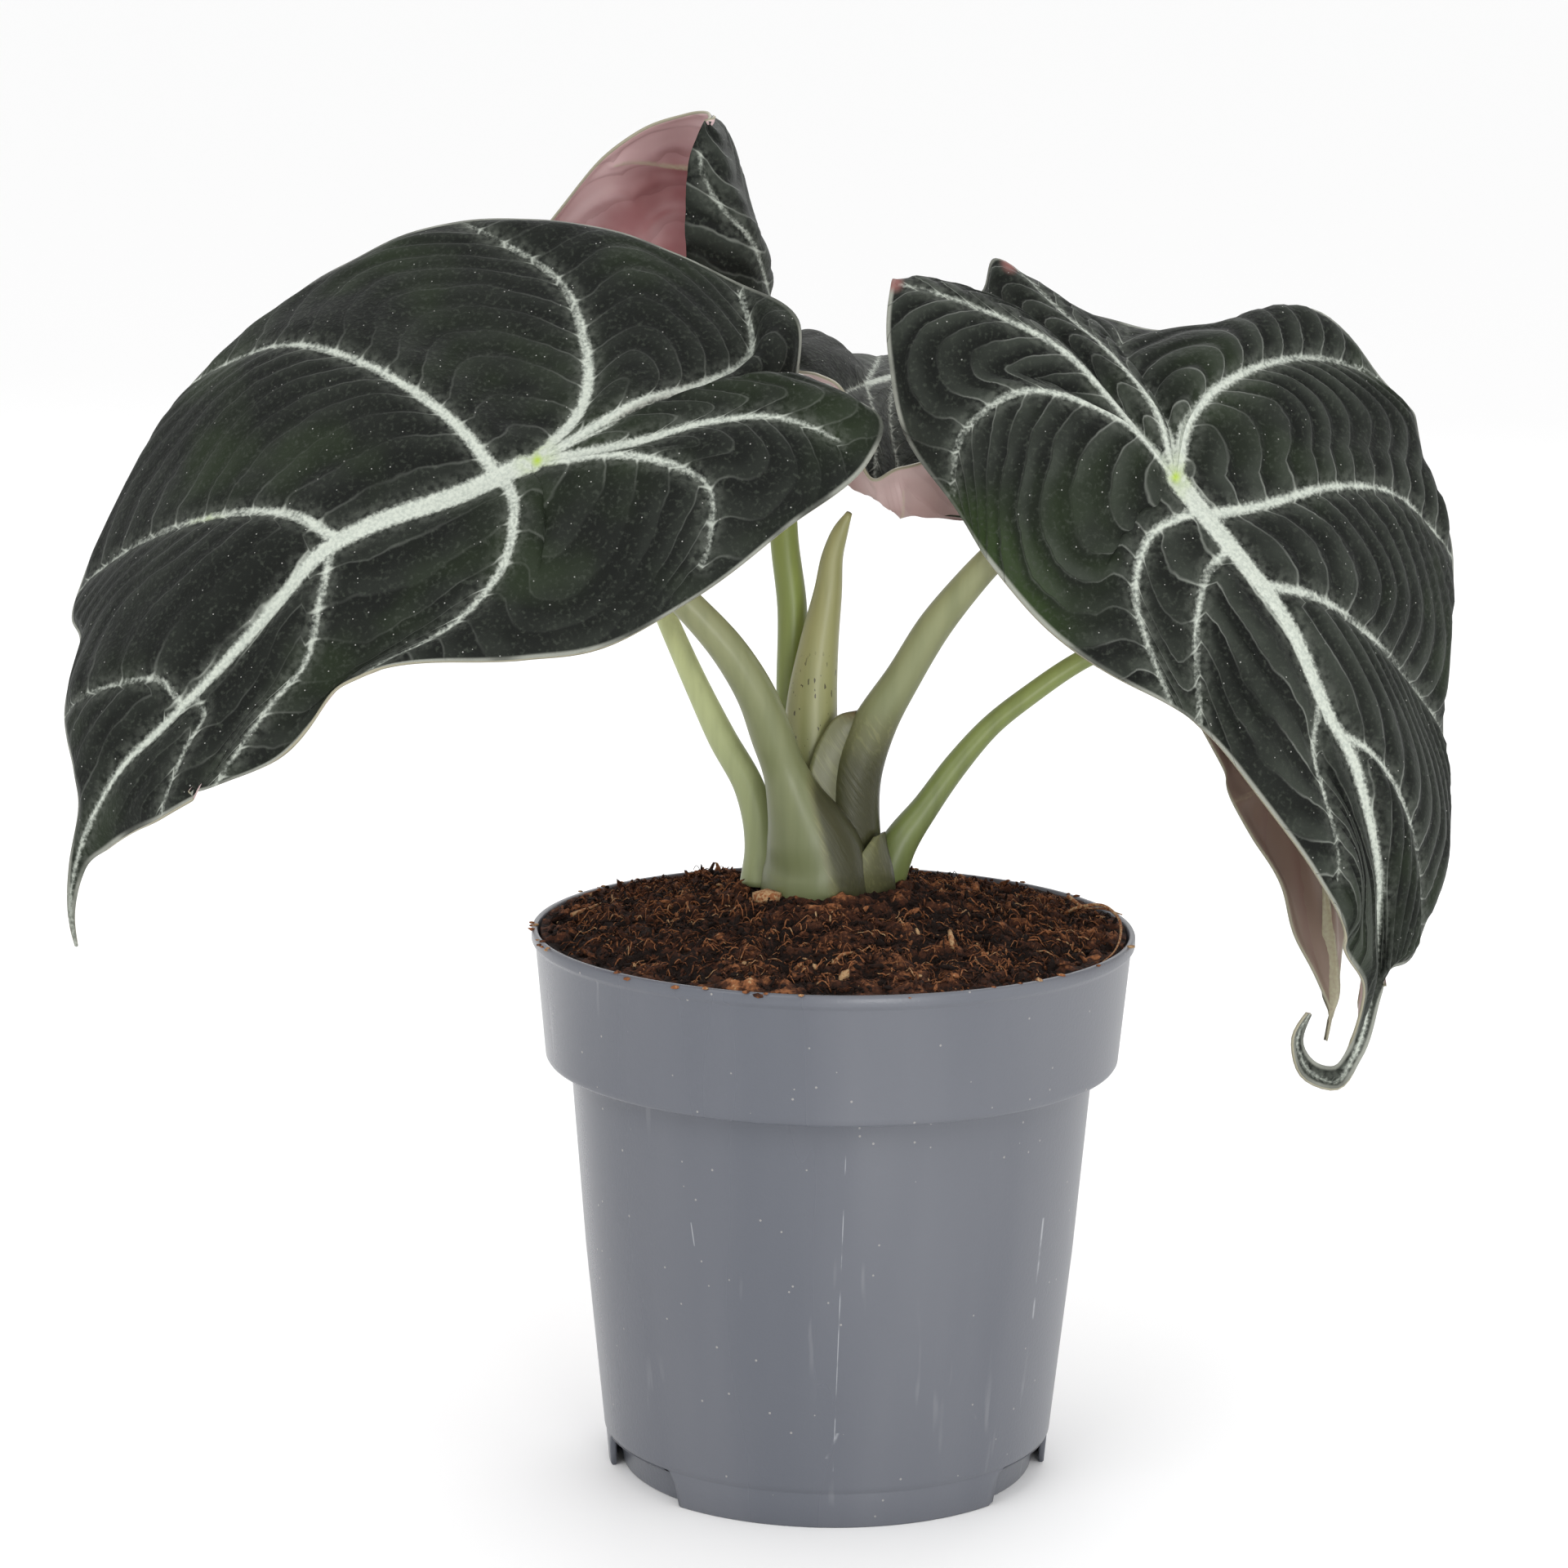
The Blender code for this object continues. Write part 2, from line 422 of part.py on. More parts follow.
def cut(item, tool, kind="DIFFERENCE"):
    """Boolean modifier with the exact solver."""
    modifier = item.modifiers.new(kind.title(), "BOOLEAN")
    modifier.operation = kind
    modifier.object = tool
    modifier.solver = "EXACT"
    return modifier


def notch_mesh(name):
    """Curved block with chamfered upper corners, for one notch of the skirt."""
    half = math.radians(NOTCH_WIDTH / 2)
    chamfer = half * 0.14
    shape = bmesh.new()
    rings = []
    for angle in (-half, chamfer - half, -half / 2, 0, half / 2, half - chamfer, half):
        top = NOTCH_HEIGHT - (2.0 if abs(angle) == half else 0.0)
        x, y = math.sin(angle) * MM, -math.cos(angle) * MM
        rings.append([shape.verts.new((x * r, y * r, z * MM))
                      for r, z in ((43.05, -2), (48, -2), (48, top), (43.05, top))])
    for low, high in zip(rings, rings[1:]):
        for i in range(4):
            shape.faces.new((low[i], low[(i + 1) % 4], high[(i + 1) % 4], high[i]))
    shape.faces.new(rings[0])
    shape.faces.new(rings[-1])
    bmesh.ops.recalc_face_normals(shape, faces=shape.faces)
    mesh = bpy.data.meshes.new(name)
    shape.to_mesh(mesh)
    shape.free()
    return mesh


def cylinder_mesh(name, radius, low, high, segments):
    """Closed cylinder along the vertical axis, sizes in mm."""
    shape = bmesh.new()
    bmesh.ops.create_cone(shape, cap_ends=True, segments=segments, radius1=radius * MM,
                          radius2=radius * MM, depth=(high - low) * MM)
    bmesh.ops.translate(shape, verts=shape.verts, vec=(0, 0, (high + low) / 2 * MM))
    mesh = bpy.data.meshes.new(name)
    shape.to_mesh(mesh)
    shape.free()
    return mesh


def inner_radius(z):
    """Inner radius of the pot's wall at a height above its floor's step."""
    heights = (FLOOR, CREASE_Z + 0.5, CREASE_Z + 1.2, COLLAR_BOTTOM_Z - 2.2, COLLAR_BOTTOM_Z + 0.4,
               COLLAR_BOTTOM_Z + 1.4, POT_HEIGHT)
    radii = (40.0, 41.2, CREASE_RADIUS - WALL, BODY_TOP_RADIUS - WALL, BODY_TOP_RADIUS - 0.7,
             COLLAR_BOTTOM_RADIUS - 1.3, RIM_RADIUS - 0.8)
    return float(np.interp(z, heights, radii))


def make_pot(home, cutters):
    """Revolved wall with a lip, a collar and a hollow skirt, then notches and drain holes."""
    outer = [(0, 0), (41.3, 0), (41.7, 0.4), (42.5, 6.0), (43.6, 6.2), (43.4, 0.3),
             (43.7, 0), (FOOT_RADIUS - 0.3, 0), (FOOT_RADIUS, 0.4),
             (CREASE_RADIUS - 0.3, CREASE_Z - 0.4), (CREASE_RADIUS, CREASE_Z),
             (BODY_TOP_RADIUS, COLLAR_BOTTOM_Z - 3.2), (BODY_TOP_RADIUS + 0.3, COLLAR_BOTTOM_Z - 0.6),
             (COLLAR_BOTTOM_RADIUS - 1, COLLAR_BOTTOM_Z), (COLLAR_BOTTOM_RADIUS - 0.2,
                                                           COLLAR_BOTTOM_Z + 0.5),
             (COLLAR_BOTTOM_RADIUS, COLLAR_BOTTOM_Z + 1.6), (RIM_RADIUS - 0.3, POT_HEIGHT - 2.8),
             (RIM_RADIUS + 0.4, POT_HEIGHT - 2.2), (RIM_RADIUS + 0.4, POT_HEIGHT - 0.6),
             (RIM_RADIUS, POT_HEIGHT)]
    heights = (POT_HEIGHT, COLLAR_BOTTOM_Z + 1.4, COLLAR_BOTTOM_Z + 0.4, COLLAR_BOTTOM_Z - 2.2,
               CREASE_Z + 1.2, CREASE_Z + 0.5, FLOOR)
    inner = [(inner_radius(z), z) for z in heights] + [(0, FLOOR)]
    pot = new_object("pot", outline_mesh("pot", outer + inner), (0.13, 0.14, 0.15), 0.45, home)
    revolve(pot, POT_SEGMENTS)
    for number, azimuth in enumerate(NOTCH_AZIMUTHS):
        tool = bpy.data.objects.new(f"notch_{number}", notch_mesh(f"notch_{number}"))
        tool.rotation_euler.z = math.radians(azimuth)
        as_cutter(tool, cutters)
        cut(pot, tool)
    for number in range(DRAIN_HOLES):
        tool = bpy.data.objects.new(f"drain_{number}", cylinder_mesh(f"drain_{number}", DRAIN_RADIUS,
                                                                     -2, 4, 14))
        angle = math.tau * (number + 0.5) / DRAIN_HOLES
        tool.location = (DRAIN_CIRCLE * MM * math.cos(angle), DRAIN_CIRCLE * MM * math.sin(angle), 0)
        as_cutter(tool, cutters)
        cut(pot, tool)
    return pot


def as_cutter(tool, cutters):
    """Keep a tool out of the render and show it as a wire."""
    cutters.objects.link(tool)
    tool.hide_render = True
    tool.display_type = "WIRE"


def make_soil(home, cutters):
    """Soil that fills the pot, heaped up round the crown, with a plain hole for it."""
    edge = inner_radius(SOIL_EDGE_Z) - FIT
    top = [(edge * (1 - t), SOIL_EDGE_Z + (MOUND_Z - SOIL_EDGE_Z) * math.sin(t * math.pi / 2) ** 1.3)
           for t in (0, 0.08, 0.2, 0.35, 0.5, 0.65, 0.8, 1)]
    heights = (FLOOR + FIT, CREASE_Z + 0.9, CREASE_Z + 1.5, COLLAR_BOTTOM_Z - 1.8,
               COLLAR_BOTTOM_Z + 0.8, COLLAR_BOTTOM_Z + 1.9)
    side = [(inner_radius(z - 0.4) - FIT, z) for z in heights]
    soil = new_object("soil", outline_mesh("soil", [(0, FLOOR + FIT)] + side + top),
                      (0.06, 0.03, 0.018), 0.95, home)
    revolve(soil, 40)
    hole = bpy.data.objects.new("crown_hole", cylinder_mesh("crown_hole", CROWN_RADIUS + FIT,
                                                            CROWN_BOTTOM_Z - FIT, 140, 28))
    hole.location = (CROWN_AT[0] * MM, CROWN_AT[1] * MM, 0)
    as_cutter(hole, cutters)
    cut(soil, hole)
    return soil


def stalk_mesh(name, stations, blade=None):
    """Round stalk along a smooth path, closed at both ends, tapering into its blade's base."""
    points = np.array([[*photo_point(*s[:3]), s[3] * MM] for s in stations])
    if blade:
        seat = min(blade.data.vertices, key=lambda v: (v.co - Vector(blade["base"])).length)
        points = np.vstack([points, [*(seat.co - seat.normal * SEAT_DEPTH * MM), SEAT_RADIUS * MM]])
    run = np.r_[0, np.cumsum(np.linalg.norm(np.diff(points[:, :3], axis=0), axis=1))]
    dense = cubic_through(run, points, np.linspace(0, run[-1], 2 * len(stations)))
    curve = bpy.data.curves.new(name, "CURVE")
    curve.dimensions = "3D"
    curve.bevel_depth = 1.0
    curve.bevel_resolution = STALK_SIDES // 2 - 2
    curve.use_fill_caps = True
    spline = curve.splines.new("POLY")
    spline.points.add(len(dense) - 1)
    for knot, place in zip(spline.points, dense):
        knot.co = (*place[:3], 1)
        knot.radius = place[3]
    item = bpy.data.objects.new(name, curve)
    bpy.context.scene.collection.objects.link(item)
    bpy.context.view_layer.update()
    mesh = bpy.data.meshes.new_from_object(item.evaluated_get(
        bpy.context.evaluated_depsgraph_get()))
    bpy.data.objects.remove(item)
    shape = bmesh.new()
    shape.from_mesh(mesh)
    bmesh.ops.remove_doubles(shape, verts=shape.verts, dist=0.00001)
    bmesh.ops.recalc_face_normals(shape, faces=shape.faces)
    shape.to_mesh(mesh)
    shape.free()
    return mesh


def make_room(blade, cutters):
    """Copy of a blade, thicker by the fit on both faces, to cut its stalk's end with."""
    room = blade.copy()
    room.name = blade.name + "_room"
    as_cutter(room, cutters)
    solid = room.modifiers["Thickness"]
    solid.thickness = (MIDRIB_THICKNESS + 2 * FIT) * MM
    solid.offset = 2 * FIT / (MIDRIB_THICKNESS + 2 * FIT) - 1
    return room


def make_stalks(blades, home, cutters):
    """Crown with all its stalks and the rolled new leaf, grown together as one piece."""
    shape = [(0, CROWN_BOTTOM_Z), (CROWN_RADIUS, CROWN_BOTTOM_Z), (CROWN_RADIUS, CROWN_TOP_Z - 1.5),
             (CROWN_RADIUS - 1.2, CROWN_TOP_Z), (CROWN_RADIUS - 5, CROWN_TOP_Z + 1.8),
             (0, CROWN_TOP_Z + 4)]
    crown = new_object("crown_and_stalks", outline_mesh("crown_and_stalks", shape),
                       (0.33, 0.42, 0.2), 0.5, home)
    crown.location = (CROWN_AT[0] * MM, CROWN_AT[1] * MM, 0)
    revolve(crown, 28)
    for name, stations in STALKS.items():
        mesh = stalk_mesh("stalk_" + name, stations, blades.get(name))
        mesh.transform(crown.matrix_basis.inverted())
        tool = bpy.data.objects.new("stalk_" + name, mesh)
        tool.location = crown.location
        as_cutter(tool, cutters)
        cut(crown, tool, "UNION")
    for blade in blades.values():
        cut(crown, make_room(blade, cutters)).use_self = True
    return crown


def main():
    """Clear the scene and build every piece."""
    for item in list(bpy.data.objects):
        bpy.data.objects.remove(item)
    plant = bpy.data.collections.new("alocasia_in_pot")
    cutters = bpy.data.collections.new("cutters")
    bpy.context.scene.collection.children.link(plant)
    bpy.context.scene.collection.children.link(cutters)
    make_pot(plant, cutters)
    make_soil(plant, cutters)
    dark, pink = (0.02, 0.03, 0.02), (0.3, 0.16, 0.15)
    blades = {
        "left_leaf": make_blade("left_blade", LEFT_LEAF, (16, 24), 9, dark, plant),
        "right_leaf": make_blade("right_blade", RIGHT_LEAF, (13, 27), 9, dark, plant),
        "top_leaf": make_blade("top_blade", TOP_LEAF, (13, 10), 9, pink, plant),
        "back_leaf": make_blade("back_blade", BACK_LEAF, (11, 12), 11, dark, plant),
        "low_leaf": make_blade("low_blade", LOW_LEAF, (7, 15), 7, pink, plant),
    }
    make_stalks(blades, plant, cutters)


main()
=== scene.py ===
"""Dresses the potted alocasia: velvety veined blades, sheathed stalks, moulded pot and loose soil.

Every piece is a surface built from whole arrays. A blade is the same cubic sheet as the solid's,
through rows of points that follow its side veins. The points are read off the photograph as
(column, row), with the depth behind the pot's axis in millimetres. Relief and colour come from
the same fields on the mesh: the distances to the nearest main vein and to the margin, and a phase
that rises by one from each cross vein to the next.
"""
import math

import bpy
import numpy as np
from mathutils import Matrix, Vector


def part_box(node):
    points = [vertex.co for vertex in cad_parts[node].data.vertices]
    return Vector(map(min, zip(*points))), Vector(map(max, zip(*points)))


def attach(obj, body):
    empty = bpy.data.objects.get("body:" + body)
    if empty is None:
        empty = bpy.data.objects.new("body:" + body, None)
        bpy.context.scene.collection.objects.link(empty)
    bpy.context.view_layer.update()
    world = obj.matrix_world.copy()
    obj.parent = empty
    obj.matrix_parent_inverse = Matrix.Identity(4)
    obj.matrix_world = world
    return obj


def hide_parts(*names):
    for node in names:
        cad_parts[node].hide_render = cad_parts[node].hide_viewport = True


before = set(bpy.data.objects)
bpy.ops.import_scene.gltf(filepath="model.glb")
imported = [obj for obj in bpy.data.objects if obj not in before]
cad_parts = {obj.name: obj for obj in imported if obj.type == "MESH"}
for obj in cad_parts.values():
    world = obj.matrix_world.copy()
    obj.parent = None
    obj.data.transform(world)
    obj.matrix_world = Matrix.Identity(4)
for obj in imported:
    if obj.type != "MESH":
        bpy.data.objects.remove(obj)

bl_info = {
    "name": "Potted alocasia",
    "version": (1, 0, 0),
    "blender": (4, 5, 0),
    "location": "View3D > Sidebar > Alocasia",
    "description": "Builds the dressed alocasia, its pot, its soil and the stage",
    "category": "Add Mesh",
}

MM = 0.001

# Pot and soil, in millimetres. The pot's height and rim and the soil's top come from the frame.
POT_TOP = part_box("pot")[1]
POT_HEIGHT = POT_TOP.z / MM
RIM_RADIUS = POT_TOP.x / MM - 0.4
COLLAR_BOTTOM_RADIUS = 57.6
COLLAR_BOTTOM_Z = 84.2
BODY_TOP_RADIUS = 52.3
CREASE_RADIUS = 45.4
CREASE_Z = 7.4
FOOT_RADIUS = 44.5
WALL = 1.0
FLOOR = 1.4
NOTCH_AZIMUTHS = (-60.0, 66.0, 183.0)
NOTCH_WIDTH = 36.0
NOTCH_HEIGHT = 6.9
SOIL_EDGE_Z = 108.6
MOUND_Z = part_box("soil")[1].z / MM + 0.4
SOIL_RADIUS = RIM_RADIUS - 1.3

# The soil below its surface, and the crown in it: (radius, height) in millimetres
SOIL_SIDE = ((SOIL_RADIUS - 0.2, 106), (56, 88), (50.9, 82.4), (43.6, 9), (40.8, 8.3), (39.6, 1.8),
             (1, 1.8))
CROWN = ((16.5, 92), (16.5, 112), (15.5, 116), (12, 118), (6, 119))
CROWN_AT = (-1.5, 3.0)

# The photograph's frame, and its camera's place in millimetres, pitch and roll
FRAME_PIXELS = 1920
FRAME_CENTRE = FRAME_PIXELS / 2
FOCAL_PIXELS = 5630.0
SENSOR_MM = 36.0
EYE = np.array([-10.2, -900.0, 310.0])
PITCH = math.radians(10.73)
ROLL = math.radians(0.65)

# Lamps: (place, aim, width, power), in metres and watts
LAMPS = {"key": ((-0.7, -1.0, 1.1), (0, 0, 0.15), 0.9, 4.5),
         "fill": ((1.1, -0.7, 0.7), (0, 0, 0.15), 0.9, 1.6),
         "back": ((0.2, 1.0, 1.1), (0, 0, 0.15), 1.0, 5.0),
         "front": ((0.3, -1.05, 0.14), (0, 0, 0.04), 0.3, 3.2)}

# Steps along veins, midribs, stalks and sheaths, and across and round the soil
VEIN_STEPS = 90
SPINE_STEPS = 260
STALK_STEPS, STALK_SIDES = 110, 36
SHEATH_STEPS, SHEATH_COLUMNS = 50, 16
SOIL_RINGS, SOIL_STEPS = 150, 520

# Stalks: (column, row, depth, radius), the last two in millimetres
STALKS = {
    "left_leaf": [(998, 1088, -2, 10.9), (998, 1052, -3, 10.2), (988, 1016, -5, 8.3),
                  (974, 980, -6.5, 5.9), (961, 944, -7.5, 4.4), (945, 900, -9, 4.2),
                  (927, 853, -11, 3.9), (895, 800, -13, 3.6), (840, 738, -15, 3.1),
                  (780, 680, -16, 2.9), (715, 625, -16, 2.7), (670, 588, -15.5, 2.5)],
    "right_leaf": [(1042, 1080, 4, 7.2), (1038, 1020, 3, 6.6), (1046, 950, 1, 5.5),
                   (1072, 885, -1, 4.4), (1106, 829, -3, 3.6), (1145, 766, -5, 3.4),
                   (1181, 721, -7, 3.1), (1209, 690, -8, 2.9), (1290, 622, -7, 2.8),
                   (1370, 590, -6, 2.6), (1428, 592, -8, 2.4)],
    "top_leaf": [(932, 1085, 4, 4.4), (934, 1040, 5, 3.7), (918, 965, 6, 3.1),
                 (884, 903, 8, 2.9), (855, 843, 10, 2.5), (817, 758, 14, 2.2),
                 (788, 690, 19, 2.1), (774, 600, 27, 2.1), (777, 500, 36, 2.1),
                 (796, 428, 43, 2.0)],
    "back_leaf": [(985, 1085, 10, 4.5), (975, 950, 10, 3.6), (970, 850, 11, 3.2),
                  (970, 744, 12, 3.0), (960, 650, 14, 2.8), (962, 580, 17, 2.5),
                  (990, 515, 21, 2.2), (1040, 482, 24, 1.9)],
    "low_leaf": [(1082, 1080, 6, 4.2), (1100, 1035, 6, 3.7), (1134, 987, 7, 2.8),
                 (1172, 935, 9, 2.5), (1214, 888, 11, 2.2), (1262, 850, 13, 2.1),
                 (1325, 808, 14, 2.0), (1430, 768, 12, 1.9), (1500, 750, 17, 1.8),
                 (1532, 748, 24, 1.7)],
    "new_leaf": [(1003, 1085, 4, 6.2), (995, 950, 4, 5.5), (994, 866, 4, 5.1),
                 (1003, 788, 4, 3.9), (1014, 723, 4, 2.8), (1020, 678, 3, 2.1),
                 (1030, 648, 2, 1.5), (1040, 628, 1, 0.6)],
}

# Sheath wings round the stalks' bases: their thickness in mm, the line where each leaves its
# stalk, and its free edge
SHEATH_THICKNESS = 0.6
SHEATHS = {
    "right_sheath": ([(1070, 872, 1), (1066, 900, 0), (1060, 940, 0), (1056, 990, 0),
                      (1056, 1050, 0)],
                     [(1052, 869, 0), (1026, 876, -2), (1003, 908, -3), (990, 948, -4),
                      (1000, 1010, -4)]),
    "low_scale": ([(1098, 1096, 0), (1094, 1065, -1), (1088, 1040, -1), (1084, 1018, 0)],
                  [(1026, 1098, -8), (1040, 1070, -8), (1056, 1044, -6), (1070, 1024, -3)]),
}

# Main veins: (half, place of the row it follows, width at its base and end in mm, reach). In
# place of one row a vein can have its own path of (place, way out) pairs.
VEINS = {
    "left": [("far_half", -1.0, 2.2, 0.8, 0.3), ("far_half", -0.74, 2.8, 0.6, 0.97),
             ("far_half", -0.35, 3.2, 0.6, 1.0), ("far_half", 0.045, 2.7, 0.7, 1.0),
             ("far_half", 0.31, 2.5, 0.6, 1.0), ("far_half", 0.61, 1.0, 0.3, 1.0),
             ("near_half", -0.82, 2.9, 0.6, 0.9), ("near_half", -0.49, 2.0, 0.5, 0.85),
             ("near_half", 0.04, 2.5, 0.5, 1.0), ("near_half", 0.32, 1.4, 0.4, 1.0),
             ("near_half", 0.59, 0.7, 0.3, 1.0)],
    "right": [("far_half", -1.0, 2.0, 0.6, 0.3), ("far_half", -0.85, 1.8, 0.5, 1.0),
              ("far_half", -0.7, 1.5, 0.4, 1.0), ("far_half", -0.3, 3.0, 0.6, 1.0),
              ("far_half", 0.06, 2.6, 0.6, 1.0), ("far_half", 0.205, 2.3, 0.6, 1.0),
              ("far_half", 0.41, 1.7, 0.5, 1.0), ("near_half", -0.85, 2.4, 0.5, 0.98),
              ("near_half", -0.5, 2.2, 0.4, 0.98), ("near_half", 0.05, 2.0, 0.4, 1.0),
              ("near_half", 0.125, 1.7, 0.4, 1.0), ("near_half", 0.358, 1.0, 0.3, 0.9)],
    "top": [("far_half", ((-0.62, 0.55), (-0.45, 0.66), (-0.2, 0.72), (0.0, 0.9)), 1.3, 0.7, 1.0),
            ("far_half", ((-0.97, 0.8), (-0.91, 0.6), (-0.8, 0.48), (-0.69, 0.38)), 0.3, 0.7,
             1.0), ("far_half", 0.3, 1.0, 0.3, 1.0), ("near_half", -0.6, 1.6, 0.4, 1.0),
            ("near_half", 0.15, 1.4, 0.4, 1.0)],
    "back": [("far_half", -0.6, 0.5, 0.2, 0.6), ("far_half", -0.2, 0.5, 0.2, 0.6),
             ("far_half", 0.1, 0.6, 0.2, 0.9), ("far_half", 0.5, 0.6, 0.2, 1.0),
             ("near_half", -0.3, 0.8, 0.2, 1.0), ("near_half", 0.1, 0.8, 0.2, 1.0),
             ("near_half", 0.5, 0.8, 0.2, 1.0)],
    "low": [("far_half", -0.7, 1.2, 0.4, 1.0), ("far_half", 0.02, 1.0, 0.3, 1.0),
            ("far_half", 0.4, 0.8, 0.3, 1.0), ("near_half", -0.7, 1.2, 0.4, 1.0),
            ("near_half", 0.05, 1.0, 0.3, 1.0), ("near_half", 0.4, 0.8, 0.3, 1.0)],
}
# How far a main vein's base is drawn back, as a share of the midrib, how many mm it is drawn
# narrower than listed, and each midrib's width at its base in mm
VEIN_LEAD = 0.035
VEIN_TRIM = 0.3
MIDRIB_WIDTH = {"left": 4.6, "right": 4.2, "top": 0.8, "back": 1.5, "low": 1.6}

# Cross veins: their spacing in mm, and how many spacings they lag midway between main veins
CROSS_SPACING = {"left": 7.2, "right": 6.0, "top": 7.0, "back": 5.0, "low": 6.0}
CROSS_LAG = 1.3

# Depth of the margin's waves in mm, then shares: relief between cross veins, pink underside
RIPPLE = {"left": 1.2, "right": 1.8, "top": 0.8, "back": 0.0, "low": 0.8}
# RELIEF also sets how strong the painted shade and painted highlight by the cross veins are
RELIEF = {"left": 0.36, "right": 1.0, "top": 0.8, "back": 0.25, "low": 0.6}
BLUSH = {"left": 0.8, "right": 0.7, "top": 1.0, "back": 0.6, "low": 0.1}

# Reach in mm of: the bulge beside a main vein, the margin where relief fades, the midrib's
# thickening and the main veins' thickening
BULGE_REACH = 3.2
MARGIN_FADE = 4
RIB_REACH = 2.2
VEIN_REACH = 0.8

# Marks on the blades: (column, row, depth)
GREEN_SPOTS = ((658, 564, -22), (255, 645, -12), (1440, 584, -15))
CURLED_TIPS = ((1094, 344, -4), (1237, 320, 12))
GREEN_PATCHES = ((1185, 630, -2), (1225, 690, -6), (1262, 750, -8))

# Stalks: tone from -0.7 (palest green) over 0 (bright green) and 0.4 (olive) to 1 (cream), and
# depth and radius in mm of the seat below the blade. UP is the unit of height above the soil.
STALK_TONES = {"left_leaf": 0.45, "right_leaf": 0.4, "top_leaf": -0.6, "back_leaf": 0.05,
               "low_leaf": 0.0, "new_leaf": 1.0}
SEAT_DEPTH, SEAT_RADIUS, STALK_DROP = 1.6, 1.2, 1.7
UP = 0.1

# Papery bases with painted shade: papery_and_shade where side * x + slope * height rises from low
# to high, up to a height
PAPERY_AND_SHADE = {"right_leaf": (-1, 0, -17, -13, 0.42), "left_leaf": (1, 25, -1, 2, 0.28)}

# Scratches on the pot: (column, row, end column, end row, half width in mm)
SCRATCHES = ((1036, 1400, 1020, 1800, 0.14), (845, 1510, 850, 1530, 0.16),
             (1285, 1530, 1268, 1670, 0.3), (1026, 1762, 1012, 1784, 0.5),
             (1190, 1750, 1202, 1762, 0.4))

# Loose matter: crumbs and fibres lie between these radii in mm, and bits of soil stick to the lip
CRUMBS_FROM = 15
FIBRES_FROM, FIBRES_TO = 19, 54
RIM_BITS = 70

# Pale bud at the plant's foot, and pale roots over the soil and the lip: (column, row, depth)
BUD = (939, 1099, -11)
ROOTS = [
    [(1290, 1128, 14), (1318, 1112, 10), (1345, 1108, 6), (1368, 1122, -2), (1372, 1146, -12),
     (1362, 1168, -22), (1350, 1178, -28)],
    [(1308, 1098, 20), (1330, 1112, 12), (1352, 1113, 6), (1374, 1120, 2)],
    [(700, 1120, 0), (722, 1112, 6), (742, 1106, 12), (762, 1108, 14)],
    [(1020, 1180, -44), (1034, 1168, -40), (1052, 1166, -38), (1066, 1158, -34)],
    [(820, 1130, -8), (842, 1126, -6), (866, 1118, -2)],
]

# Steps of each blade's grid: over the lobes, along the midrib, and out to the margin
GRID = {"left": (80, 112, 100), "right": (76, 116, 100), "top": (50, 60, 62), "back": (50, 60, 62),
        "low": (36, 74, 56)}

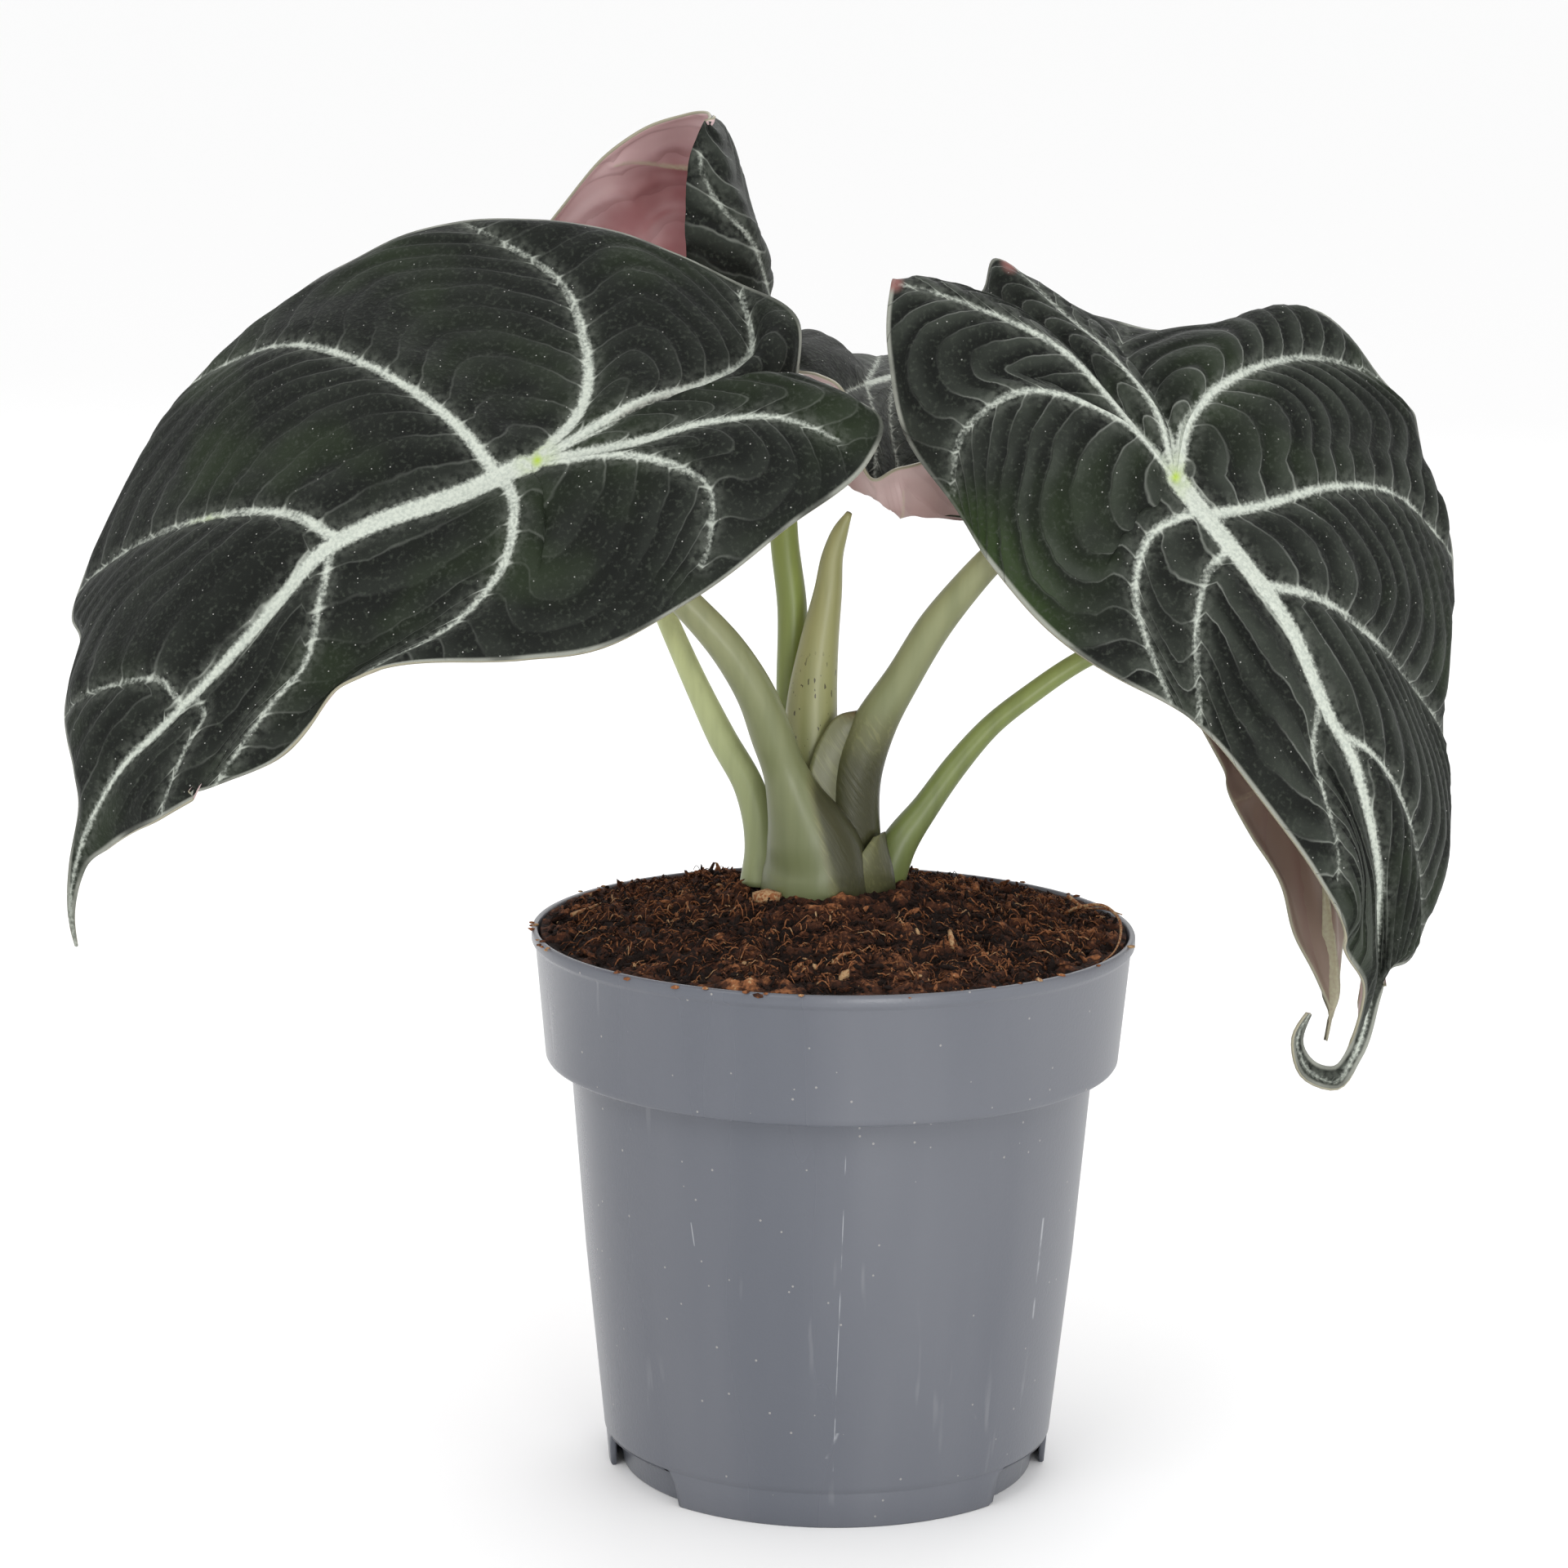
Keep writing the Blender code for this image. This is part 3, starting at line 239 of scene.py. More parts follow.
# Blades. A row is (place along the midrib, lean in mm away from the viewer at the margin, points
# at quarters of the way out), and a point's own depth goes before the lean. Rows below 0 fan out
# over the basal lobes.
LEFT_LEAF = {
    "upper_side_faces": (0, -1, 0.5),
    "midrib": [
        (650, 568, -22), (550, 611, -24), (460, 640, -27), (395, 675, -29), (346, 733, -31),
        (264, 824, -34), (205, 885, -35), (147, 943, -34), (114, 998, -32), (92, 1060, -28),
        (86, 1120, -25), (96, 1172, -23),
    ],
    "far_half": {"lean_power": 1.25, "rows": [
        (-1, 21, [(745, 522, -19), (825, 505), (905, 492), (978, 478)]),
        (-0.88, 23, [(750, 518), (830, 488), (915, 455), (980, 392)]),
        (-0.74, 34, [(776, 495), (860, 470), (920, 430), (903, 343)]),
        (-0.57, 44, [(745, 495), (800, 430), (805, 350), (762, 283)]),
        (-0.35, 50, [(712, 500), (717, 425), (680, 340), (560, 268)]),
        (-0.18, 52, [(640, 520), (590, 440), (515, 360), (415, 322)]),
        (0.045, 50, [(550, 512), (450, 447), (345, 423), (231, 468)]),
        (0.19, 46, [(468, 565), (370, 528), (270, 520), (158, 575)]),
        (0.31, 40, [(330, 642), (251, 641), (170, 667), (89, 723)]),
        (0.48, 30, [(243, 755), (195, 746), (140, 760), (94, 790)]),
        (0.61, 20, [(185, 846), (140, 845), (102, 855), (73, 876)]),
        (0.7, 11, [(145, 907), (122, 911), (103, 922), (87, 942)]),
        (0.8, 4, [(110, 993), (105, 993), (100, 994), (95, 995)]),
        (0.872, 1, [(90, 1060), (88, 1060), (86, 1060), (84, 1060)]),
        (0.94, 0, [(85, 1120), (84, 1120), (83.5, 1120), (83, 1120)]),
        (1, 0, [(95.5, 1172), (95.3, 1172), (95.1, 1172), (95, 1172)]),
    ]},
    "near_half": {"lean_power": 0.85, "rows": [
        (-1, 4, [(745, 522, -19), (830, 487), (925, 463), (1015, 468)]),
        (-0.9, -2, [(765, 535), (870, 505), (985, 488), (1081, 514)]),
        (-0.82, -6, [(764, 545), (870, 517), (965, 514), (1066, 562)]),
        (-0.66, -15, [(780, 552), (885, 548), (950, 585), (962, 648)]),
        (-0.49, -20, [(775, 558), (862, 592), (868, 662), (842, 737)]),
        (-0.36, -24, [(690, 610), (740, 675), (755, 735), (745, 788)]),
        (-0.2, -25, [(655, 640), (672, 700), (668, 755), (640, 804)]),
        (0.04, -24, [(630, 625), (612, 700), (545, 772), (440, 822)]),
        (0.1, -22, [(575, 650), (560, 715), (505, 785), (409, 841)]),
        (0.16, -20, [(510, 680), (500, 742), (455, 805), (376, 887)]),
        (0.24, -17, [(445, 715), (432, 778), (390, 840), (328, 934)]),
        (0.32, -16, [(376, 745), (368, 815), (325, 871), (262, 963)]),
        (0.5, -14, [(290, 845), (272, 893), (252, 938), (228, 979)]),
        (0.59, -11, [(238, 885), (224, 918), (210, 955), (193, 1001)]),
        (0.7, -6, [(158, 950), (159, 972), (160, 995), (161, 1018)]),
        (0.8, -2, [(118, 1008), (123, 1019), (127, 1030), (131, 1040)]),
        (0.872, 0, [(95, 1061), (98, 1062), (101, 1063), (105, 1064)]),
        (0.94, 0, [(87, 1120), (88.5, 1120), (90, 1120), (91.5, 1120)]),
        (1, 0, [(96.5, 1172), (96.7, 1172), (96.9, 1172), (97, 1172)]),
    ]},
}
RIGHT_LEAF = {
    "upper_side_faces": (0, -1, 0.5),
    "midrib": [
        (1440, 585, -15), (1490, 648, -19), (1541, 711, -23), (1585, 775, -26), (1624, 866, -28),
        (1655, 925, -28), (1676, 1000, -27), (1688, 1080, -25), (1684, 1150, -22),
        (1677, 1220, -19), (1660, 1290, -17), (1635, 1325, -17), (1603, 1312, -19),
        (1588, 1275, -21), (1611, 1229, -22),
    ],
    "far_half": {"lean_power": 1.35, "rows": [
        (-1, 27, [(1382, 515, -11), (1300, 435), (1225, 385), (1197, 356)]),
        (-0.85, 26, [(1415, 500), (1360, 433), (1298, 380), (1236, 318)]),
        (-0.78, 28, [(1422, 510), (1378, 452), (1335, 405), (1302, 366)]),
        (-0.7, 30, [(1432, 530), (1402, 478), (1371, 432), (1378, 394)]),
        (-0.55, 34, [(1445, 520), (1448, 465), (1462, 425), (1480, 393)]),
        (-0.4, 40, [(1452, 520), (1490, 455), (1550, 408), (1622, 378)]),
        (-0.3, 44, [(1460, 507), (1522, 457), (1605, 438), (1702, 463)]),
        (-0.05, 46, [(1510, 565), (1590, 535), (1675, 535), (1748, 563)]),
        (0.06, 48, [(1550, 618), (1635, 596), (1712, 608), (1783, 684)]),
        (0.13, 46, [(1590, 680), (1665, 690), (1730, 730), (1779, 790)]),
        (0.205, 44, [(1622, 752), (1677, 788), (1722, 832), (1772, 900)]),
        (0.3, 38, [(1660, 850), (1710, 895), (1748, 950), (1773, 1010)]),
        (0.36, 30, [(1675, 905), (1720, 950), (1750, 1010), (1765, 1080)]),
        (0.41, 18, [(1685, 938), (1716, 990), (1736, 1060), (1740, 1157)]),
        (0.5, 9, [(1690, 1045), (1702, 1095), (1708, 1145), (1703, 1187)]),
        (0.62, 4, [(1692, 1130), (1695, 1155), (1697, 1180), (1694, 1205)]),
        (0.745, 1, [(1680, 1222), (1684, 1223), (1687, 1224), (1690, 1225)]),
        (0.82, 0, [(1662, 1291), (1664, 1293), (1666, 1294), (1668, 1295)]),
        (0.867, -1, [(1635, 1327), (1636, 1329), (1636, 1331), (1637, 1333)]),
        (0.904, -1, [(1602, 1314), (1600, 1316), (1598, 1318), (1597, 1320)]),
        (0.946, -1, [(1587, 1275), (1586, 1275), (1585, 1275), (1584, 1276)]),
        (1, 0, [(1610.7, 1229), (1610.5, 1229), (1610.3, 1229), (1610, 1229)]),
    ]},
    "near_half": {"lean_power": 1.0, "rows": [
        (-1, 16, [(1382, 515, -11), (1300, 430), (1215, 370), (1104, 341)]),
        (-0.85, 9, [(1374, 504), (1300, 428), (1205, 380), (1092, 343)]),
        (-0.7, 2, [(1365, 520), (1270, 470), (1170, 430), (1087, 430)]),
        (-0.6, -4, [(1370, 518), (1258, 470), (1165, 485), (1106, 530)]),
        (-0.5, -10, [(1375, 515), (1262, 478), (1182, 528), (1162, 614)]),
        (-0.3, -16, [(1400, 600), (1330, 600), (1265, 640), (1222, 700)]),
        (-0.1, -18, [(1405, 635), (1350, 685), (1328, 742), (1320, 797)]),
        (0.05, -18, [(1410, 655), (1390, 720), (1404, 785), (1435, 864)]),
        (0.125, -16, [(1484, 715), (1469, 770), (1467, 830), (1470, 889)]),
        (0.235, -14, [(1560, 800), (1548, 850), (1540, 900), (1530, 955)]),
        (0.3, -12, [(1592, 880), (1588, 930), (1588, 980), (1585, 1027)]),
        (0.358, -10, [(1614, 928), (1625, 980), (1637, 1035), (1637, 1105)]),
        (0.51, -6, [(1672, 1040), (1668, 1085), (1660, 1125), (1653, 1168)]),
        (0.67, -3, [(1682, 1170), (1680, 1188), (1677, 1203), (1672, 1218)]),
        (0.745, -1.5, [(1675, 1230), (1671, 1240), (1667, 1250), (1662, 1260)]),
        (0.82, 0, [(1657, 1288), (1655, 1286), (1652, 1285), (1650, 1284)]),
        (0.867, 1, [(1635, 1320), (1634, 1315), (1634, 1310), (1633, 1305)]),
        (0.904, 1, [(1605, 1309), (1607, 1306), (1609, 1303), (1611, 1300)]),
        (0.946, 1, [(1590, 1275), (1592, 1275), (1594, 1275), (1596, 1276)]),
        (1, 0, [(1611.3, 1229), (1611.5, 1229), (1611.7, 1229), (1612, 1229)]),
    ]},
}
TOP_LEAF = {
    "upper_side_faces": (0, 1, 0.3),
    "midrib": [
        (800, 405, 48), (740, 420, 62), (670, 455, 80), (600, 510, 98), (545, 580, 112),
        (510, 650, 120), (500, 690, 122),
    ],
    "far_half": {"lean_power": 1, "rows": [
        (-1, 0, [(838, 345, 34), (840, 270, 29), (846, 190, 30), (871, 139, 36)]),
        (-0.85, 0, [(885, 385, 38), (918, 300, 29), (888, 225, 28), (869, 146, 34)]),
        (-0.7, 0, [(925, 395, 44), (938, 330, 40), (900, 238, 40), (873, 142, 42)]),
        (-0.55, 0, [(890, 380, 54), (915, 300, 56), (898, 210, 55), (868, 135, 50)]),
        (-0.35, 0, [(850, 340, 58), (865, 265, 64), (858, 190, 62), (840, 136, 54)]),
        (-0.15, 0, [(815, 330, 58), (815, 260, 66), (808, 200, 64), (786, 155, 56)]),
        (0.05, 0, [(780, 345, 62), (770, 285, 68), (750, 235, 66), (728, 200, 58)]),
        (0.2, 0, [(730, 360, 74), (715, 315, 78), (698, 280, 76), (680, 260, 70)]),
        (0.4, 0, [(655, 415, 90), (640, 380, 94), (625, 355, 94), (612, 340, 90)]),
        (0.65, 0, [(575, 490, 104), (560, 470, 106), (548, 460, 106), (540, 452, 104)]),
        (0.85, 0, [(518, 610, 116), (512, 602, 117), (508, 596, 117), (505, 592, 116)]),
        (1, 0, [(499, 690, 122), (498.6, 690, 122), (498.3, 690, 122), (498, 690, 122)]),
    ]},
    "near_half": {"lean_power": 1, "rows": [
        (-1, 0, [(845, 412, 40), (885, 425, 34), (915, 448, 32), (935, 478, 34)]),
        (-0.6, 0, [(840, 440, 44), (870, 480, 40), (885, 520, 38), (885, 560, 40)]),
        (-0.2, 0, [(800, 460, 52), (800, 520, 50), (795, 570, 48), (780, 612, 47)]),
        (0.15, 0, [(740, 480, 66), (728, 540, 66), (715, 590, 64), (700, 632, 62)]),
        (0.4, 0, [(655, 520, 84), (640, 570, 84), (625, 620, 82), (610, 655, 80)]),
        (0.65, 0, [(580, 575, 102), (570, 610, 103), (560, 640, 102), (550, 665, 100)]),
        (0.85, 0, [(520, 630, 118), (516, 645, 118), (512, 655, 118), (508, 662, 117)]),
        (1, 0, [(500.4, 690, 122), (500.7, 690, 122), (501, 690, 122), (501.3, 690, 122)]),
    ]},
}
BACK_LEAF = {
    "upper_side_faces": (0, -0.3, 1),
    "midrib": [
        (1060, 470, 24), (1120, 455, 42), (1190, 450, 62), (1260, 465, 82), (1320, 500, 98),
        (1365, 550, 110), (1390, 600, 116),
    ],
    "far_half": {"lean_power": 1, "rows": [
        (-1, 0, [(1044, 444, 29), (1015, 420, 28), (985, 411, 28), (950, 425, 26)]),
        (-0.8, 0, [(1040, 452, 22), (1012, 442, 18), (982, 438, 16), (962, 450, 15)]),
        (-0.6, 0, [(1040, 478, 15), (1018, 488, 8), (1004, 492, 5), (1004, 458, 2)]),
        (-0.4, 0, [(1052, 500, 13), (1040, 545, 6), (1028, 585, 1), (1037, 484, -4)]),
        (-0.2, 0, [(1070, 510, 12), (1072, 570, 2), (1066, 612, -5), (1060, 574, -9)]),
        (0.1, 0, [(1090, 510, 18), (1100, 580, 6), (1104, 630, -2), (1104, 571, -7)]),
        (0.3, 0, [(1150, 510, 30), (1155, 580, 12), (1158, 640, 4), (1162, 562, -1)]),
        (0.5, 0, [(1220, 520, 48), (1225, 590, 32), (1230, 640, 24), (1232, 590, 18)]),
        (0.7, 0, [(1300, 540, 76), (1298, 590, 66), (1295, 625, 60), (1295, 600, 56)]),
        (0.88, 0, [(1372, 580, 108), (1368, 592, 106), (1364, 600, 104), (1362, 604, 103)]),
        (1, 0, [(1390, 600.4, 116), (1390, 600.7, 116), (1390, 601, 116), (1390, 601.3, 116)]),
    ]},
    "near_half": {"lean_power": 1, "rows": [
        (-1, 0, [(1044, 444, 29), (1018, 440, 44), (990, 436, 54), (960, 436, 62)]),
        (-0.7, 0, [(1052, 444, 40), (1040, 440, 58), (1015, 442, 74), (990, 448, 86)]),
        (-0.3, 0, [(1075, 442, 44), (1074, 437, 64), (1062, 442, 82), (1042, 452, 98)]),
        (0.1, 0, [(1100, 440, 52), (1110, 438, 72), (1112, 444, 90), (1108, 456, 106)]),
        (0.3, 0, [(1160, 435, 72), (1170, 430, 92), (1175, 435, 108), (1175, 450, 122)]),
        (0.5, 0, [(1235, 440, 92), (1245, 435, 108), (1250, 442, 122), (1250, 460, 132)]),
        (0.7, 0, [(1312, 475, 106), (1318, 472, 118), (1322, 480, 128), (1322, 498, 134)]),
        (0.88, 0, [(1380, 562, 116), (1385, 562, 120), (1388, 566, 123), (1390, 572, 125)]),
        (1, 0, [(1390, 599.6, 116), (1390, 599.3, 116), (1390, 599, 116), (1390, 598.7, 116)]),
    ]},
}
LOW_LEAF = {
    "upper_side_faces": (0, 1, 0.3),
    "midrib": [
        (1545, 745, 30), (1570, 820, 30), (1590, 900, 26), (1606, 990, 20), (1618, 1080, 14),
        (1628, 1160, 9), (1630, 1225, 6), (1623, 1283, 4),
    ],
    "far_half": {"lean_power": 1.2, "rows": [
        (-1, -4, [(1530, 700), (1510, 660), (1490, 630), (1475, 610)]),
        (-0.7, -8, [(1500, 720), (1460, 700), (1430, 700), (1405, 715)]),
        (-0.35, -10, [(1500, 770), (1460, 795), (1440, 808), (1425, 818)]),
        (0.02, -10, [(1520, 815), (1490, 850), (1470, 862), (1455, 868)]),
        (0.2, -9, [(1555, 880), (1530, 905), (1512, 920), (1496, 942)]),
        (0.4, -8, [(1575, 955), (1552, 965), (1530, 975), (1507, 985)]),
        (0.52, -7, [(1590, 1018), (1570, 1022), (1550, 1025), (1530, 1027)]),
        (0.65, -6, [(1605, 1086), (1593, 1088), (1580, 1088), (1566, 1086)]),
        (0.78, -4, [(1616, 1146), (1606, 1147), (1595, 1148), (1584, 1148)]),
        (0.88, -2, [(1626, 1204), (1622, 1204), (1618, 1204), (1613, 1203)]),
        (0.93, 0, [(1629, 1240), (1628.5, 1240), (1628, 1240), (1627.5, 1240)]),
        (1, 0, [(1622.7, 1283), (1622.5, 1283), (1622.3, 1283), (1622, 1283)]),
    ]},
    "near_half": {"lean_power": 1.2, "rows": [
        (-1, 6, [(1560, 700), (1575, 655), (1590, 620), (1605, 600)]),
        (-0.7, 8, [(1600, 710), (1645, 690), (1680, 685), (1710, 690)]),
        (-0.3, 8, [(1610, 760), (1665, 765), (1705, 775), (1735, 790)]),
        (0.05, 8, [(1620, 820), (1670, 840), (1705, 860), (1735, 880)]),
        (0.2, 7, [(1620, 880), (1660, 915), (1690, 945), (1715, 970)]),
        (0.4, 5, [(1630, 970), (1655, 1000), (1675, 1030), (1690, 1055)]),
        (0.6, 3, [(1630, 1055), (1645, 1070), (1655, 1085), (1662, 1100)]),
        (0.75, 2, [(1630, 1128), (1635, 1136), (1639, 1144), (1643, 1152)]),
        (0.88, 1, [(1632, 1197), (1634, 1198), (1636, 1199), (1637, 1200)]),
        (0.93, 0, [(1631, 1240), (1631.5, 1240), (1632, 1240), (1632.5, 1240)]),
        (1, 0, [(1623.3, 1283), (1623.5, 1283), (1623.7, 1283), (1624, 1283)]),
    ]},
}
LEAVES = {"left": LEFT_LEAF, "right": RIGHT_LEAF, "top": TOP_LEAF, "back": BACK_LEAF,
          "low": LOW_LEAF}


def number(default, description, **more):
    """Float property; lengths are in metres."""
    return bpy.props.FloatProperty(default=default, description=description, **more)


def whole(default, description, **more):
    """Whole number property."""
    return bpy.props.IntProperty(default=default, description=description, **more)


def colour(default, description):
    """Colour property, linear values."""
    return bpy.props.FloatVectorProperty(default=default, description=description,
                                         subtype="COLOR", size=3, min=0, max=1)


class BladeSettings(bpy.types.PropertyGroup):
    """Relief and colours shared by the five leaf blades."""

    thickness: number(0.6 * MM, "Thickness at the margin", unit="LENGTH")
    bulge: number(1.3 * MM, "Height of the lamina between sunken main veins", unit="LENGTH")
    quilting: number(0.75 * MM, "Height between cross veins", unit="LENGTH")
    lamina: colour((0.0040, 0.0052, 0.0038), "Velvety upper side")
    lamina_green: colour((0.016, 0.027, 0.009), "Greener areas")
    green_patch: colour((0.022, 0.042, 0.008), "Greenest patches")
    bloom: colour((0.040, 0.047, 0.036), "Broad paler areas")
    # crest is painted highlight on the inner flank of each cross vein
    crest: colour((0.060, 0.070, 0.056), "Upper side just inside each cross vein")
    # crease is painted shade on the outer flank of each cross vein
    crease: colour((0.002, 0.0025, 0.002), "Upper side just outside each cross vein")
    nap: colour((0.048, 0.056, 0.043), "Finest grain of the velvet")
    haze: colour((0.13, 0.142, 0.12), "Fine hair beside the main veins")
    vein: colour((0.52, 0.555, 0.49), "Silvery main veins")
    vein_deep: colour((0.41, 0.445, 0.395), "Mottling of the main veins")
    vein_green: colour((0.34, 0.42, 0.18), "Veins round the lime spots")
    lime: colour((0.36, 0.50, 0.03), "Spots at the stalks' joints")
    edge: colour((0.30, 0.31, 0.27), "Pale edge of the upper side")
    curled: colour((0.24, 0.10, 0.09), "Reddish tips of the lobes")
    dust: colour((0.5, 0.5, 0.47), "Specks on the upper side")
    underside: colour((0.42, 0.25, 0.25), "Pink underside")
    underside_deep: colour((0.27, 0.105, 0.108), "Redder parts of the pink")
    underside_band: colour((0.72, 0.55, 0.55), "Pale pink along the margin")
    underside_dull: colour((0.17, 0.125, 0.085), "Underside without blush")
    # Painted shade beside the cross veins on the underside
    underside_crease_shade: colour((0.16, 0.05, 0.05), "Beside cross veins")
    underside_green: colour((0.42, 0.42, 0.27), "Veins seen from below")
    underside_edge: colour((0.3, 0.28, 0.2), "Edge seen from below")


class StalkSettings(bpy.types.PropertyGroup):
    """Colours of the stalks and sheaths."""

    pale: colour((0.57, 0.64, 0.32), "The palest stalk")
    bright: colour((0.25, 0.31, 0.085), "Outer, thinner stalks")
    olive: colour((0.215, 0.232, 0.112), "Thick inner stalks")
    high: colour((0.265, 0.280, 0.138), "Thick stalks above their bases")
    cream: colour((0.30, 0.30, 0.130), "Rolled new leaf")
    deep: colour((0.085, 0.105, 0.04), "Stalks' streaks and bases")
    sheath: colour((0.13, 0.135, 0.06), "Papery sheaths round the stalks' bases")
    sheath_dark: colour((0.026, 0.026, 0.010), "Sheaths' shaded parts")
    spot: colour((0.03, 0.02, 0.012), "Spots on the new leaf")
    dry: colour((0.10, 0.055, 0.03), "Dry sheath edges and tips")


class PotSettings(bpy.types.PropertyGroup):
    """Finish of the moulded pot."""

    grey: colour((0.098, 0.105, 0.125), "Moulded plastic")
    # Scuffs; the same lighter grey is also laid in broad upright bands as painted highlight
    worn: colour((0.24, 0.245, 0.26), "Scuffs")
    dust: colour((0.5, 0.47, 0.42), "Pale specks")
    scratch: colour((0.42, 0.43, 0.45), "Pale scratches on the front")
    segments: whole(288, "Steps round the pot", min=96)


class SoilSettings(bpy.types.PropertyGroup):
    """Loose surface of the soil."""

    crumbs: whole(5200, "Loose lumps on the surface", min=0)
    fibres: whole(2600, "Coir fibres on the surface", min=0)
    # Peat, and painted shade in the hollows of the bed
    dark: colour((0.010, 0.005, 0.0035), "Damp peat in the pits")
    brown: colour((0.050, 0.018, 0.009), "Peat")
    red: colour((0.27, 0.105, 0.042), "Coir")
    pale: colour((0.42, 0.27, 0.14), "Wood chips and roots")


class StageSettings(bpy.types.PropertyGroup):
    """Floor and light."""

    floor: colour((0.97, 0.97, 0.97), "Plain pale floor")
    reach: number(25.0, "Half the floor's width, past the frame's top edge", unit="LENGTH")
    sky: number(1.0, "Strength of the even white surround")


def photo_point(column, row, depth):
    """Place in metres of the point seen at a pixel, a given depth in mm behind the axis."""
    across, down = column - FRAME_CENTRE, row - FRAME_CENTRE
    x = across * math.cos(ROLL) + down * math.sin(ROLL)
    y = down * math.cos(ROLL) - across * math.sin(ROLL)
    ahead = np.array([0.0, math.cos(PITCH), -math.sin(PITCH)])
    above = np.array([0.0, math.sin(PITCH), math.cos(PITCH)])
    ray = ahead + (np.array([1.0, 0.0, 0.0]) * x - above * y) / FOCAL_PIXELS
    return (EYE + ray * (depth - EYE[1]) / ray[1]) * MM


def cubic_through(knots, values, at):
    """Smooth cubic through values at uneven knots: Hermite pieces, tangents from neighbours."""
    knots, values, at = (np.asarray(a, float) for a in (knots, values, at))
    wide = (-1,) + (1,) * (values.ndim - 1)
    step = np.diff(knots).reshape(wide)
    slope = np.diff(values, axis=0) / step
    tangent = np.concatenate([slope[:1], slope, slope[-1:]])[:-1]
    tangent[1:-1] = (slope[:-1] * step[1:] + slope[1:] * step[:-1]) / (step[1:] + step[:-1])
    tangent[-1] = slope[-1]
    i = np.clip(np.searchsorted(knots, at, side="right") - 1, 0, len(step) - 1)
    t = ((at - knots[i]) / step[i].ravel()).reshape(wide)
    return ((2 * t**3 - 3 * t**2 + 1) * values[i] + (t**3 - 2 * t**2 + t) * step[i] * tangent[i]
            + (3 * t**2 - 2 * t**3) * values[i + 1] + (t**3 - t**2) * step[i] * tangent[i + 1])


def path_at(points, places):
    """Points at shares of the length of the cubic through the given ones."""
    run = np.r_[0, np.cumsum(np.linalg.norm(np.diff(points[:, :3], axis=0), axis=1))]
    return cubic_through(run / run[-1], points, places)


def smooth_path(points, count):
    """Evenly spread points on the cubic through the given ones; any further columns follow."""
    return path_at(points, np.linspace(0, 1, count))


def along_midrib(leaf, places):
    """Points on the midrib at shares of its length, with their depth in mm as a fourth value."""
    points = np.array([[*photo_point(*p), p[2]] for p in leaf["midrib"]])
    return path_at(points, np.clip(places, 0, 1))


def half_blade(leaf, half, places, outs):
    """Grid of points of one half blade: places along the midrib by shares of the way out."""
    rows = []
    for place, lean, picks in leaf[half]["rows"]:
        start = along_midrib(leaf, np.array([place]))[0]
        row = [start[:3]]
        for quarter, pick in enumerate(picks, 1):
            bend = lean * (quarter / 4) ** leaf[half]["lean_power"]
            row.append(photo_point(pick[0], pick[1], pick[2] if len(pick) > 2 else start[3] + bend))
        rows.append(row)
    sheet = cubic_through([row[0] for row in leaf[half]["rows"]], rows, places)
    sheet[:, 0] = along_midrib(leaf, places)[:, :3]
    return cubic_through([0, 0.25, 0.5, 0.75, 1], sheet.swapaxes(0, 1), outs).swapaxes(0, 1)


def smoothstep(low, high, x):
    """0 below low, 1 above high, and 3t^2 - 2t^3 between."""
    t = np.clip((x - low) / (high - low), 0, 1)
    return t * t * (3 - 2 * t)


def value_noise(points, size, seed):
    """Lattice noise in 0..1: hashed corner values, blended by smoothstep over cells of a size."""
    cell = np.floor(points / size)
    part = points / size - cell
    part = part * part * (3 - 2 * part)
    total = 0
    for corner in np.ndindex(2, 2, 2):
        key = (cell + corner) @ np.array([127.1, 311.7, 74.7]) + seed * 19.19
        weight = np.prod(np.where(corner, part, 1 - part), axis=1)
        total = total + weight * (np.abs(np.sin(key) * 43758.5453) % 1)
    return total


def fractal(points, size, octaves, seed):
    """Sum of value noises, each of half the size and half the height of the last, in -1..1."""
    heights = [value_noise(points, size / 2**k, seed + k) * 0.5**k for k in range(octaves)]
    return 2 * sum(heights) / (2 - 0.5 ** (octaves - 1)) - 1


def grid_quads(rows, columns, wrap=False):
    """Corner numbers of a grid's quads, row by row; wrap closes each row on itself."""
    across = np.arange(columns if wrap else columns - 1)
    low = np.arange(rows - 1)[:, None] * columns
    a, b = low + across, low + (across + 1) % columns
    return np.stack([a, b, b + columns, a + columns], -1).reshape(-1, 4)


def merged(points, quads, *fields):
    """Weld points that coincide: points, faces as lists, and fields at the kept points."""
    _, kept, new = np.unique(np.round(points / (0.002 * MM)), axis=0, return_index=True,
                             return_inverse=True)
    faces = [list(dict.fromkeys(face)) for face in new.ravel()[quads].tolist()]
    return (points[kept], [face for face in faces if len(face) > 2], *(f[kept] for f in fields))


def point_normals(points, faces):
    """Unit normals, as the mean of the crossed diagonals of the faces round each point."""
    corners = np.array([face if len(face) == 4 else face + face[-1:] for face in faces])
    cross = np.cross(points[corners[:, 2]] - points[corners[:, 0]],
                     points[corners[:, 3]] - points[corners[:, 1]])
    normals = np.zeros_like(points)
    for corner in corners.T:
        np.add.at(normals, corner, cross)
    return normals / np.maximum(np.linalg.norm(normals, axis=1, keepdims=True), 1e-12)


def facing(points, faces, direction):
    """Faces and point normals, turned over where they face away from a direction."""
    normals = point_normals(points, faces)
    if (normals @ np.array(direction)).sum() < 0:
        return [face[::-1] for face in faces], -normals
    return faces, normals


